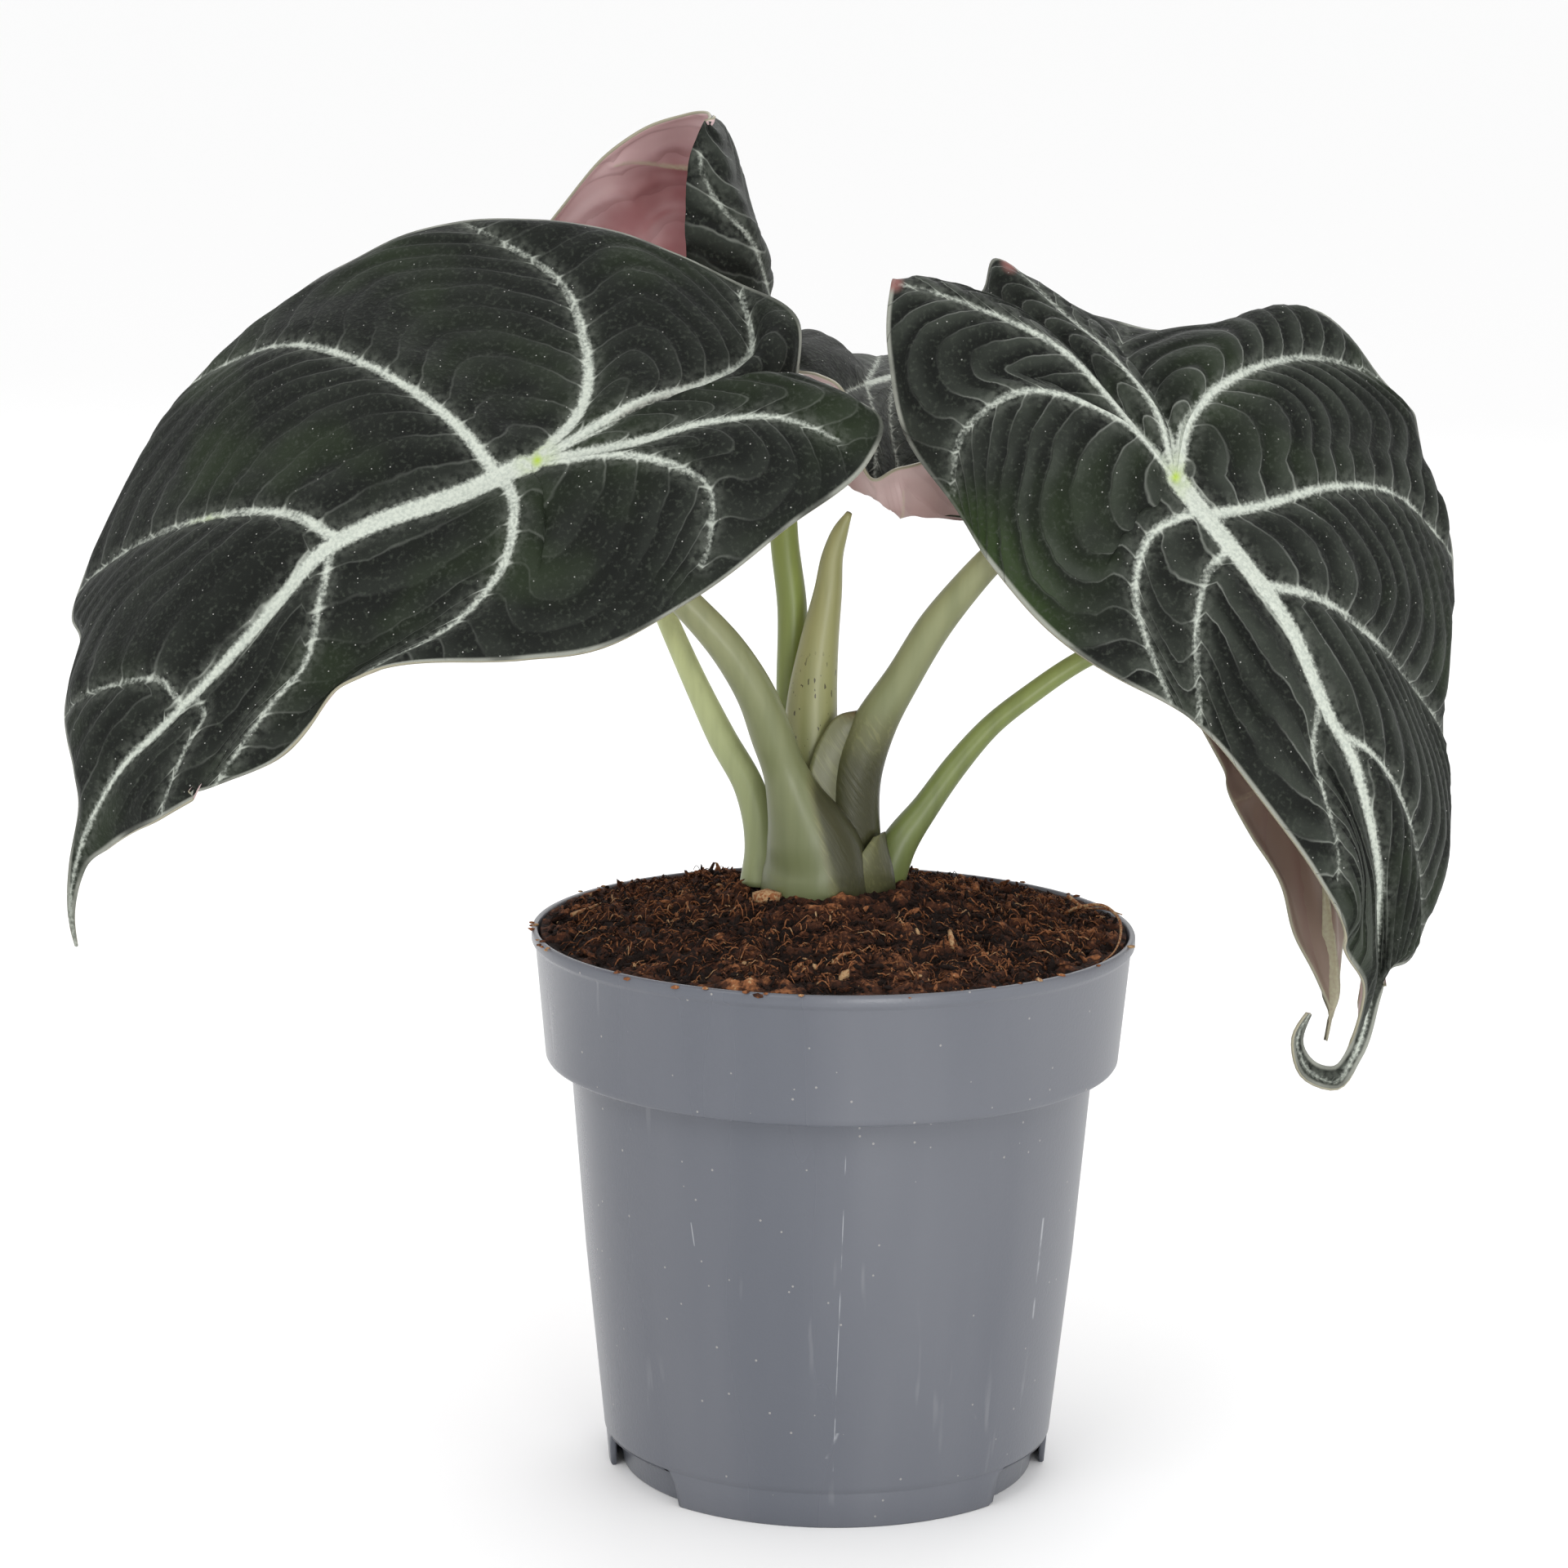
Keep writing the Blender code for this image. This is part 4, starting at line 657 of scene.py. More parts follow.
def closed_faces(faces, count):
    """Faces of a thin closed piece: an upper side, the same below it turned over, and a rim."""
    edges = {(a, b) for face in faces for a, b in zip(face, face[1:] + face[:1])}
    rim = [[b, a, a + count, b + count] for a, b in edges if (b, a) not in edges]
    return faces + [[i + count for i in face[::-1]] for face in faces] + rim


def linked(name, data):
    """Object of some data in the scene's own collection."""
    item = bpy.data.objects.new(name, data)
    bpy.context.scene.collection.objects.link(item)
    return item


def add_piece(name, points, faces, materials, fields=None, slots=None, stands_for=()):
    """Mesh object from arrays, smooth shaded, with point fields, riding the frame's root."""
    mesh = bpy.data.meshes.new(name)
    mesh.from_pydata(np.asarray(points).tolist(), [], faces)
    for material in materials:
        mesh.materials.append(material)
    if slots is not None:
        mesh.polygons.foreach_set("material_index", slots)
    for field, values in (fields or {}).items():
        mesh.attributes.new(field, "FLOAT", "POINT").data.foreach_set("value", values)
    mesh.shade_smooth()
    mesh.update()
    piece = linked(name, mesh)
    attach(piece, "root")
    if stands_for:
        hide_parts(*stands_for)
    return piece


def joined(parts):
    """One set of points, faces and fields from several."""
    points, faces, fields, start = [], [], [], 0
    for part_points, part_faces, part_fields in parts:
        points.append(part_points)
        faces += [[i + start for i in face] for face in part_faces]
        fields.append(part_fields)
        start += len(part_points)
    return np.concatenate(points), faces, np.concatenate(fields)


class Nodes:
    """Short way to add shader nodes to a tree."""

    def __init__(self, tree):
        """Keep the tree that the nodes go to."""
        self.tree = tree

    def feed(self, node, inputs):
        """Node with inputs, by name or number, linked to a socket or given a value."""
        for key, value in dict(inputs).items():
            if isinstance(value, bpy.types.NodeSocket):
                self.tree.links.new(value, node.inputs[key])
            else:
                node.inputs[key].default_value = value
        return node

    def add(self, kind, inputs=(), **options):
        """New node with its options set and its inputs fed."""
        node = self.tree.nodes.new(kind)
        for option, value in options.items():
            setattr(node, option, value)
        return self.feed(node, inputs)

    def use(self, group, **inputs):
        """Outputs of a group node."""
        return self.add("ShaderNodeGroup", inputs, node_tree=group).outputs

    def math(self, operation, a, b=0.0, c=0.0):
        """Result of a Math node."""
        return self.add("ShaderNodeMath", {0: a, 1: b, 2: c}, operation=operation).outputs[0]

    def times(self, a, b):
        """Product of two values."""
        return self.math("MULTIPLY", a, b)

    def ramp(self, value, low, high, start=0.0, end=1.0):
        """Smooth Map Range from low..high to start..end."""
        return self.add("ShaderNodeMapRange", {0: value, 1: low, 2: high, 3: start, 4: end},
                        interpolation_type="SMOOTHSTEP").outputs[0]

    def mix(self, factor, a, b):
        """Colour mix; a and b are sockets or rgb values."""
        a, b = (v if isinstance(v, bpy.types.NodeSocket) else (*v, 1) for v in (a, b))
        return self.add("ShaderNodeMix", {0: factor, 6: a, 7: b}, data_type="RGBA").outputs[2]

    def layered(self, body, layers):
        """Body with each (factor, colour) laid over it in turn."""
        for factor, layer in layers:
            body = self.mix(factor, body, layer)
        return body

    def place(self):
        """The object's own coordinates."""
        return self.add("ShaderNodeTexCoord").outputs["Object"]

    def noise(self, scale, detail=2.0, stretch=None, turn=(0, 0, 0)):
        """Noise in 0..1 over the object's own coordinates, turned and then stretched."""
        place = self.place()
        if any(turn):
            place = self.add("ShaderNodeMapping", {0: place, 2: turn}).outputs[0]
        if stretch:
            place = self.add("ShaderNodeMapping", {0: place, 3: stretch}).outputs[0]
        return self.add("ShaderNodeTexNoise", {"Vector": place, "Scale": scale,
                                               "Detail": detail}).outputs[0]

    def field(self, name):
        """A point field of the mesh."""
        return self.add("ShaderNodeAttribute", attribute_name=name).outputs["Fac"]

    def bump(self, height, distance, strength=1.0):
        """Normal from a height field."""
        return self.add("ShaderNodeBump", {"Height": height, "Distance": distance,
                                           "Strength": strength}).outputs[0]


def new_group(name, inputs, outputs):
    """Shader group with float sockets, its Nodes and its input node's outputs."""
    group = bpy.data.node_groups.new(name, "ShaderNodeTree")
    for socket, default in inputs.items():
        made = group.interface.new_socket(socket, in_out="INPUT", socket_type="NodeSocketFloat")
        made.default_value = default
    for socket in outputs:
        group.interface.new_socket(socket, in_out="OUTPUT", socket_type="NodeSocketFloat")
    nodes = Nodes(group)
    return group, nodes, nodes.add("NodeGroupInput").outputs


def specks_group():
    """Sparse round specks: 1 near the points of a Voronoi lattice that its colour picks."""
    group, nodes, given = new_group("Specks", {"Scale": 600.0, "Share": 0.2, "Size": 0.1}, ["Mask"])
    cells = nodes.add("ShaderNodeTexVoronoi", {"Vector": nodes.place(), "Scale": given["Scale"]})
    pick = nodes.math("LESS_THAN", cells.outputs["Color"], given["Share"])
    near = nodes.math("LESS_THAN", cells.outputs["Distance"], given["Size"])
    nodes.add("NodeGroupOutput", {"Mask": nodes.times(pick, near)})
    return group


def veins_group():
    """Main: feathered main veins. CrossAndHighlight: spikes where cross veins leave them, and faint
    lines on
    from there, painted as highlight on the lit edge of each ridge. Crease and Crest:
    painted shade on the outer and painted highlight on the inner flank of each cross vein.
    """
    group, nodes, given = new_group("Veins", {"Feather": 0.9}, ["Main", "CrossAndHighlight", "Crease", "Crest"])
    distance, phase = nodes.field("vein"), nodes.field("cross")
    rough = nodes.math("SUBTRACT", nodes.noise(1500, 5), 0.5)
    main = nodes.ramp(nodes.math("MULTIPLY_ADD", rough, given["Feather"], distance), -0.55, 0.65,
                      1, 0)
    wobble = nodes.math("MULTIPLY_ADD", nodes.noise(130, 2), 0.5, phase)
    fold, step = nodes.math("PINGPONG", wobble, 0.5), nodes.math("FRACT", wobble)
    patch = nodes.times(nodes.ramp(nodes.noise(65, 2), 0.36, 0.62, 0.3, 1),
                        nodes.times(nodes.ramp(distance, -0.4, 0.8), nodes.field("relief")))
    spike = nodes.times(nodes.ramp(nodes.math("MULTIPLY_ADD", distance, 0.05, fold), 0.0, 0.11, 1,
                                   0), nodes.ramp(distance, 0.3, 2.4, 1, 0))
    # Faint pale line along each cross vein: painted highlight on the lit edge of its ridge
    faint = nodes.times(nodes.ramp(fold, 0.0, 0.06, 1, 0),
                        nodes.ramp(distance, 1.0, 11.0, 0.45, 0.06))
    # Painted highlight: lighter towards each cross vein on its inner flank
    inside = nodes.times(nodes.ramp(step, 0.2, 0.95), nodes.ramp(step, 0.95, 1.0, 1, 0.3))
    nodes.add("NodeGroupOutput", {
        "Main": main, "CrossAndHighlight": nodes.math("MAXIMUM", spike, nodes.times(faint, patch)),
        # Painted shade just outside each cross vein, painted highlight just inside it
        "Crease": nodes.times(nodes.ramp(step, 0.03, 0.4, 1, 0), patch),
        "Crest": nodes.times(inside, patch)})
    return group


def new_material(name):
    """Empty material with its Nodes and Principled shader."""
    material = bpy.data.materials.new(name)
    material.use_nodes = True
    return material, Nodes(material.node_tree), material.node_tree.nodes["Principled BSDF"]


def spot_mask(nodes, spots, low, high):
    """1 within low of any of the spots and 0 beyond high, in metres as seen from the front."""
    place, mask = nodes.place(), 0.0
    front = nodes.add("ShaderNodeVectorMath", {0: place, 1: (1, 0, 1)}, operation="MULTIPLY")
    for spot in spots:
        x, _, z = photo_point(*spot)
        gap = nodes.add("ShaderNodeVectorMath", {0: front.outputs[0], 1: (x, 0, z)},
                        operation="DISTANCE").outputs["Value"]
        mask = nodes.math("ADD", nodes.ramp(gap, low, high, 1, 0), mask)
    return mask


def upper_material(settings, veins, specks):
    """Velvet over near-black green, with silvery veins, lime spots, a pale edge and specks of dust,
    and painted highlight and painted shade by each cross vein.
    """
    material, nodes, shader = new_material("blade_top")
    marks = nodes.use(veins, Feather=1.3)
    dust = nodes.use(specks, Scale=620.0, Share=0.36, Size=0.085)["Mask"]
    grain, mottle = nodes.noise(1150, 4), nodes.ramp(nodes.noise(1500, 5), 0.38, 0.66)
    hair = nodes.times(nodes.ramp(nodes.field("vein"), 0.0, 3.6, 0.45, 0),
                       nodes.ramp(nodes.noise(700, 4), 0.3, 0.7))
    tinge = nodes.times(spot_mask(nodes, GREEN_SPOTS, 0.0, 0.006),
                        nodes.ramp(nodes.noise(500, 3), 0.35, 0.65, 0.1, 0.6))
    pale = nodes.layered(settings.vein, [
        (mottle, settings.vein_deep),
        (tinge, settings.vein_green),
        (nodes.times(spot_mask(nodes, GREEN_SPOTS, 0.0, 0.0015), 0.85), settings.lime)])
    edge = nodes.times(nodes.ramp(nodes.field("margin"), 0.45, 1.1, 0.85, 0),
                       nodes.ramp(nodes.noise(70, 2), 0.35, 0.6, 0.25, 1))
    body = nodes.layered(settings.lamina, [
        (nodes.ramp(nodes.noise(30, 3), 0.5, 0.68, 0, 0.6), settings.lamina_green),
        # Painted highlight just inside each cross vein
        (nodes.times(marks["Crest"], 0.45), settings.crest),
        (nodes.times(spot_mask(nodes, GREEN_PATCHES, 0.0, 0.013), 0.6), settings.green_patch),
        (nodes.ramp(nodes.noise(55, 4), 0.45, 0.7, 0, 0.15), settings.bloom),
        # Painted shade just outside each cross vein
        (nodes.times(marks["Crease"], 0.6), settings.crease),
        (nodes.ramp(grain, 0.5, 0.75, 0, 0.5), settings.nap),
        (hair, settings.haze),
        # Pale spikes of the cross veins, and faint lines on from them that are painted highlight
        (nodes.times(marks["CrossAndHighlight"], 0.7), settings.vein),
        (marks["Main"], pale),
        (edge, settings.edge),
        (nodes.times(spot_mask(nodes, CURLED_TIPS, 0.0006, 0.0026), 0.85), settings.curled),
        (nodes.times(dust, 0.6), settings.dust)])
    nap = nodes.math("MULTIPLY_ADD", marks["Crest"], 2.0, nodes.times(grain, 0.8))
    nodes.feed(shader, {"Base Color": body, "Roughness": 0.62, "Specular IOR Level": 0.14,
                        "Sheen Weight": 0.05, "Sheen Roughness": 0.4,
                        "Sheen Tint": (0.85, 0.9, 0.85, 1),
                        "Normal": nodes.bump(nap, 0.0003, 0.9)})
    return material


def under_material(settings, veins):
    """Smooth underside: dull or pink by blush, paler along the margin, with green veins and painted
    shade beside the cross veins.
    """
    material, nodes, shader = new_material("blade_underside")
    marks = nodes.use(veins, Feather=0.6)
    margin = nodes.field("margin")
    pink = nodes.layered(settings.underside_deep, [
        (nodes.ramp(nodes.noise(45, 3), 0.35, 0.6), settings.underside),
        (nodes.ramp(margin, 4, 16, 0.75, 0), settings.underside_band)])
    body = nodes.layered(settings.underside_dull, [
        (nodes.field("blush"), pink),
        # Painted shade beside the cross veins
        (nodes.times(marks["Crease"], 0.35), settings.underside_crease_shade),
        (marks["Main"], settings.underside_green),
        (nodes.ramp(margin, 0.2, 0.6, 1, 0), settings.underside_edge)])
    nodes.feed(shader, {"Base Color": body, "Roughness": 0.45, "Specular IOR Level": 0.45,
                        "Normal": nodes.bump(marks["Crease"], 0.0004, 0.8)})
    return material


def vein_line(leaf, half, place, reach):
    """Line of a main vein on the sheet: u(v) = place - lead (1 - v)^2, or its own (u, v) path."""
    if isinstance(place, tuple):
        path = smooth_path(np.array([(*pair, 0) for pair in place], float), VEIN_STEPS)
        places, outs = path[:, 0], path[:, 1]
    else:
        t = np.linspace(0, 1, VEIN_STEPS)
        outs = reach * t
        places = place - VEIN_LEAD * smoothstep(0.06, 0.2, place) * (1 - t) ** 2
    return half_blade(leaf, half, places, outs)[np.arange(VEIN_STEPS), np.arange(VEIN_STEPS)]


def vein_distance(name, leaf, points):
    """Distances in mm from each point: to the edge of the nearest main vein, below 0 inside it,
    and to the midrib's middle.
    """
    places = np.linspace(0, 1, SPINE_STEPS)
    spine = along_midrib(leaf, places)[:, :3]
    lines = [(spine, MIDRIB_WIDTH[name] * (1 - places) ** 1.3 + 0.35)]
    for half, place, base, end, reach in VEINS[name]:
        lines.append((vein_line(leaf, half, place, reach), np.linspace(base, end, VEIN_STEPS)))
    nearest, rib = np.full(len(points), 1e3), None
    for line, width in lines:
        gap = np.sqrt(((points[:, None].astype(np.float32) - line[None].astype(np.float32)) ** 2)
                      .sum(-1)) / MM
        rib = gap.min(1) if rib is None else rib
        nearest = np.minimum(nearest, (gap - (width - VEIN_TRIM) / 2).min(1))
    return nearest, rib


def way_along(sheet):
    """Length in mm along each row of a sheet, from its first point."""
    steps = np.linalg.norm(np.diff(sheet, axis=1), axis=2)
    return np.c_[np.zeros(len(sheet)), np.cumsum(steps, axis=1)] / MM


def cross_phase(name, half, places, sheet):
    """Phase of the cross veins: way out along the row over their spacing, less a lag
    sin(pi t)^1.3 between main veins, so that each leaves its main vein squarely and turns
    towards the margin midway.
    """
    knots = np.array([-1.0] + [v[1] for v in VEINS[name] if v[0] == half
                               and not isinstance(v[1], tuple) and v[1] > -1] + [1.0])
    i = np.clip(np.searchsorted(knots, places, side="right") - 1, 0, len(knots) - 2)
    t = ((places - knots[i]) / (knots[i + 1] - knots[i]))[:, None]
    way = way_along(sheet)
    lag = CROSS_LAG * np.sin(math.pi * t) ** 1.3 * np.minimum(way / 30, 1)
    return way / CROSS_SPACING[name] - lag + 0.37 * i[:, None]


def blade_halves(leaf, places, outs):
    """Both halves' grids of points. Where they start with one row, its inner quarter is shared."""
    far, near = (half_blade(leaf, half, places, outs) for half in ("far_half", "near_half"))
    if leaf["far_half"]["rows"][0][2][0] == leaf["near_half"]["rows"][0][2][0]:
        shared = outs <= 0.25
        middle = (far[0, shared] + near[0, shared]) / 2
        for sheet in (far, near):
            share = np.clip(1 - (places + 1) / 0.12, 0, 1)[:, None, None]
            sheet[:, shared] += share * (middle - sheet[0, shared])
    return far, near


def even_base(points, normals, base):
    """Normals, brought to one direction within a few mm of the blade's base."""
    apart = np.linalg.norm(points - base, axis=1) / MM
    common = normals[apart < 6].sum(axis=0)
    share = smoothstep(2, 9, apart)[:, None]
    normals = share * normals + (1 - share) * common / np.linalg.norm(common)
    return normals / np.linalg.norm(normals, axis=1, keepdims=True)


def blade_relief(name, settings, points, distance, phase, margin, rib):
    """Height of the upper side over the sheet, and the blade's thickness.

    Height: bulge (1 - exp(-d / reach)) + quilting (1 - cos^6(pi phase)) + a fine grain, all fading
    at the margin, less the margin's waves where the blade is wide. Thickness grows as a Gaussian
    of the distance to the midrib and as exp(-d / reach) beside the main veins.
    """
    away, fade = np.maximum(distance, 0), smoothstep(0, MARGIN_FADE, margin)
    height = (settings.bulge * (1 - np.exp(-away / BULGE_REACH)) * fade
              + settings.quilting * RELIEF[name] * (1 - np.cos(math.pi * phase) ** 6) * fade
              * smoothstep(0.3, 3, away) * (0.35 + value_noise(points, 13 * MM, 9))
              + 0.22 * MM * fractal(points, 9 * MM, 3, 5) * fade
              - RIPPLE[name] * MM * value_noise(points, 11 * MM, 21)
              * (1 - smoothstep(0, 2 * MARGIN_FADE, margin)) * smoothstep(4, 14, rib))
    thick = (settings.thickness
             + 1.3 * MM * np.exp(-(rib / RIB_REACH) ** 2) * smoothstep(0, 6, margin)
             + 0.35 * MM * np.exp(-away / VEIN_REACH) * fade)
    return height, thick


def blade_arrays(name, leaf, settings):
    """Closed blade: sheet S(place, out) along whose normal n the upper side lies at height h and
    the underside a thickness below it. Points, faces, material slots and fields.
    """
    lobe, length, across = GRID[name]
    places = np.r_[np.linspace(-1, 0, lobe)[:-1], np.linspace(0, 0.985, length)]
    far, near = blade_halves(leaf, places, np.linspace(0, 1, across))

    def both(a, b):
        """Far half's grid turned round and joined to the near half's at the midrib."""
        return np.concatenate([a[:, ::-1], b[:, 1:]], axis=1)

    phase = both(cross_phase(name, "far_half", places, far),
                 cross_phase(name, "near_half", places, near))
    margin = both(*(way_along(sheet[:, ::-1])[:, ::-1] for sheet in (far, near)))
    points, faces, phase, margin = merged(
        both(far, near).reshape(-1, 3), grid_quads(len(places), 2 * across - 1), phase.ravel(),
        margin.ravel())
    faces, normals = facing(points, faces, leaf["upper_side_faces"])
    distance, rib = vein_distance(name, leaf, points)
    phase = phase + 0.3 * fractal(points, 18 * MM, 2, 31)
    normals = even_base(points, normals, along_midrib(leaf, np.zeros(1))[0, :3])
    height, thick = blade_relief(name, settings, points, distance, phase, margin, rib)
    upper = points + normals * height[:, None]
    under = points + normals * (height - thick)[:, None]
    shell = closed_faces(faces, len(points))
    slots = [0] * len(faces) + [1] * (len(shell) - len(faces))
    fields = {"vein": distance, "cross": phase, "margin": margin,
              "blush": np.full(len(points), BLUSH[name]),
              "relief": np.full(len(points), RELIEF[name])}
    fields = {field: np.tile(values, 2) for field, values in fields.items()}
    return np.concatenate([upper, under]), shell, slots, fields


def tube(path, radii, sides, squash=1.0):
    """Closed tube: circles of the given radii carried along a path without twist."""
    along = np.gradient(path, axis=0)
    along /= np.linalg.norm(along, axis=1, keepdims=True)
    side = np.cross(along[0], (0.0, 0.0, 1.0) if abs(along[0][2]) < 0.9 else (0.0, 1.0, 0.0))
    sides_at = []
    for direction in along:
        side = side - direction * (side @ direction)
        side /= np.linalg.norm(side)
        sides_at.append(side)
    first = np.array(sides_at)
    second = np.cross(along, first) * squash
    angle = np.linspace(0, math.tau, sides, endpoint=False)
    ring = (first[:, None] * np.cos(angle)[None, :, None]
            + second[:, None] * np.sin(angle)[None, :, None])
    points = (path[:, None] + ring * np.asarray(radii)[:, None, None]).reshape(-1, 3)
    faces = grid_quads(len(path), sides, wrap=True).tolist()
    last = (len(path) - 1) * sides
    return points, faces + [list(range(sides))[::-1], list(range(last, last + sides))]


def stalk_parts():
    """Tubes of all stalks, each run on to a seat just under its blade's base, with their fields:
    tone, height above the soil, and papery_and_shade: how much of each base is sheath, made darker
    as painted shade.
    """
    parts = []
    for name, stations in STALKS.items():
        knots = np.array([[*photo_point(*s[:3]), s[3] * MM] for s in stations])
        leaf = LEAVES.get(name.split("_")[0])
        if leaf:
            base = along_midrib(leaf, np.array([0.0]))[0, :3]
            up = np.array(leaf["upper_side_faces"], float)
            up /= np.linalg.norm(up)
            knots = np.vstack([knots, [*(base - up * SEAT_DEPTH * MM), SEAT_RADIUS * MM]])
        path = smooth_path(knots, STALK_STEPS)
        if leaf:
            near = np.linalg.norm(path[:, :3] - base, axis=1) / MM
            path[:, :3] -= up * smoothstep(-30, -4, -near)[:, None] * STALK_DROP * MM
        points, faces = tube(path[:, :3], path[:, 3], STALK_SIDES)
        height = (points[:, 2] - MOUND_Z * MM) / UP
        papery_and_shade = np.zeros(len(points))
        if name in PAPERY_AND_SHADE:
            side, slope, low, high, top = PAPERY_AND_SHADE[name]
            papery_and_shade = (smoothstep(low, high, side * points[:, 0] / MM + slope * height)
                      * smoothstep(-top, -0.2, -height))
        parts.append((points, faces,
                      np.c_[np.full(len(points), STALK_TONES[name]), height, papery_and_shade]))
    return parts


def sheath_arrays(inner, outer, thickness):
    """Closed sheath wing between two smooth lines, bowed outwards as sin(pi t) across; the field
    is the share t of the way from the inner line to the free one.
    """
    a, b = (smooth_path(np.array([photo_point(*p) for p in line]), SHEATH_STEPS)
            for line in (inner, outer))
    t = np.linspace(0, 1, SHEATH_COLUMNS)[None, :, None]
    bow = np.array([0.0, -1.3 * MM, 0.0]) * np.sin(math.pi * t)
    front = (a[:, None] * (1 - t) + b[:, None] * t + bow).reshape(-1, 3)
    faces, normals = facing(front, grid_quads(SHEATH_STEPS, SHEATH_COLUMNS).tolist(), (0, -1, 0))
    points = np.concatenate([front, front - normals * thickness])
    return points, closed_faces(faces, len(front)), np.tile(t.ravel(), 2 * SHEATH_STEPS)


def stalk_material(settings):
    """Smooth skin by tone, with lengthwise streaks, membranous bases darkened by painted shade, and
    spots on the new leaf.
    """
    material, nodes, shader = new_material("stalk")
    tone, up, papery_and_shade = nodes.field("tone"), nodes.field("up"), nodes.field("papery_and_shade")
    streak = nodes.noise(330, 3, stretch=(1, 1, 0.05))
    lines = nodes.noise(1500, 2, stretch=(1, 1, 0.06), turn=(0, 0.6, 0))
    olive = nodes.mix(nodes.ramp(up, 0.4, 0.75), settings.olive, settings.high)
    # Sheath colour with faint lines, darkened towards sheath_dark as painted shade
    paper_and_shade = nodes.layered(settings.sheath, [
        (nodes.ramp(lines, 0.5, 0.64, 0, 0.22), settings.cream),
        (nodes.ramp(papery_and_shade, 0.3, 1.0, 0, 0.82), settings.sheath_dark)])
    band = nodes.times(nodes.ramp(up, 0.24, 0.28), nodes.ramp(up, 0.42, 0.5, 1, 0))
    spots = nodes.math("GREATER_THAN", nodes.noise(1500, 1, stretch=(1, 1, 0.4)), 0.7)
    spots = nodes.times(spots, nodes.times(band, nodes.ramp(tone, 0.7, 1)))
    body = nodes.layered(settings.pale, [
        (nodes.ramp(tone, -0.7, 0.0), settings.bright),
        (nodes.ramp(tone, 0.05, 0.4), olive),
        (nodes.ramp(tone, 0.6, 1.0), settings.cream),
        (nodes.ramp(streak, 0.35, 0.75, 0, 0.3), settings.deep),
        (nodes.ramp(up, 0.0, 0.55, 0.6, 0), settings.deep),
        # Membranous bases with painted shade
        (nodes.ramp(papery_and_shade, 0.0, 0.45), paper_and_shade),
        (nodes.times(spots, 0.85), settings.spot),
        (nodes.field("dry"), settings.dry)])
    creases = nodes.math("MULTIPLY_ADD", nodes.times(lines, papery_and_shade), 1.5, streak)
    nodes.feed(shader, {"Base Color": body, "Roughness": 0.4, "Specular IOR Level": 0.45,
                        "Normal": nodes.bump(creases, 0.0002, 0.4)})
    return material


def pot_profile(foot):
    """Closed outline (radius, height) in mm of the pot's wall where its skirt ends at foot."""
    rim, top, low = RIM_RADIUS, POT_HEIGHT, foot / NOTCH_HEIGHT
    skirt_in, skirt_out = 43.4 + 0.5 * low, FOOT_RADIUS + 0.6 * low
    floor = [(0, 0), (20, 0), (41.0, 0), (41.5, 0.15), (41.7, 0.5), (42.5, 6.2), (42.8, 6.6)]
    skirt = [(43.4, 6.6), (43.6, 6.3), (skirt_in, min(foot + 0.4, 6.2)), (skirt_in + 0.2, foot),
             (skirt_out - 0.3, foot), (skirt_out, foot + 0.35)]
    crease = [(CREASE_RADIUS + r, CREASE_Z + z) for r, z in (
        (-0.3, -0.4), (-0.35, -0.1), (0, 0.25), (0.1, 1.2))]
    body = [(BODY_TOP_RADIUS - 3, 45)] + [(BODY_TOP_RADIUS + r, COLLAR_BOTTOM_Z + z) for r, z in (
        (0, -3.2), (0.1, -1.2), (0.6, -0.3), (1.4, 0))]
    collar = [(COLLAR_BOTTOM_RADIUS + r, COLLAR_BOTTOM_Z + z) for r, z in (
        (-1, 0), (-0.4, 0.2), (-0.1, 0.7), (0, 1.6))]
    lip = [(rim + r, top + z) for r, z in (
        (-0.4, -3.2), (-0.2, -2.8), (0.3, -2.3), (0.4, -2.0), (0.4, -0.6), (0.2, -0.15), (-0.1, 0),
        (-0.5, 0), (-0.8, -0.2), (-0.9, -1.0))]
    inside = [(COLLAR_BOTTOM_RADIUS - 1.3, COLLAR_BOTTOM_Z + 2.0),
              (BODY_TOP_RADIUS - 0.7, COLLAR_BOTTOM_Z + 0.4),
              (BODY_TOP_RADIUS - WALL, COLLAR_BOTTOM_Z - 2.2),
              (CREASE_RADIUS - WALL, CREASE_Z + 1.4), (41.2, CREASE_Z + 0.5), (40.0, FLOOR),
              (20, FLOOR), (0, FLOOR)]
    return floor + skirt + crease + body + collar + lip + inside


def pot_arrays(segments):
    """Pot: its outline turned about the axis, the skirt's foot raised over each notch.

    foot(angle) = notch height where the angle is within half a notch; each end rises steeply for
    0.72 of the height and then slopes.
    """
    angles = np.linspace(0, math.tau, segments, endpoint=False)
    foot = np.zeros(segments)
    for azimuth in NOTCH_AZIMUTHS:
        off = np.abs((np.degrees(angles) - azimuth + 180) % 360 - 180)
        rise = np.clip((NOTCH_WIDTH / 2 + 0.6 - off) / 1.3, 0, 1) * 0.72
        rise += 0.28 * np.clip((NOTCH_WIDTH / 2 - off) / 2.4, 0, 1)
        foot = np.maximum(foot, rise * NOTCH_HEIGHT)
    shape = np.array([pot_profile(f) for f in foot])
    x, y = shape[..., 0] * np.sin(angles)[:, None], -shape[..., 0] * np.cos(angles)[:, None]
    grid = np.stack([x, y, shape[..., 1]], -1) * MM
    closed = np.concatenate([grid, grid[:1]])
    quads = grid_quads(segments + 1, shape.shape[1])[:, ::-1]
    return merged(closed.reshape(-1, 3), quads)


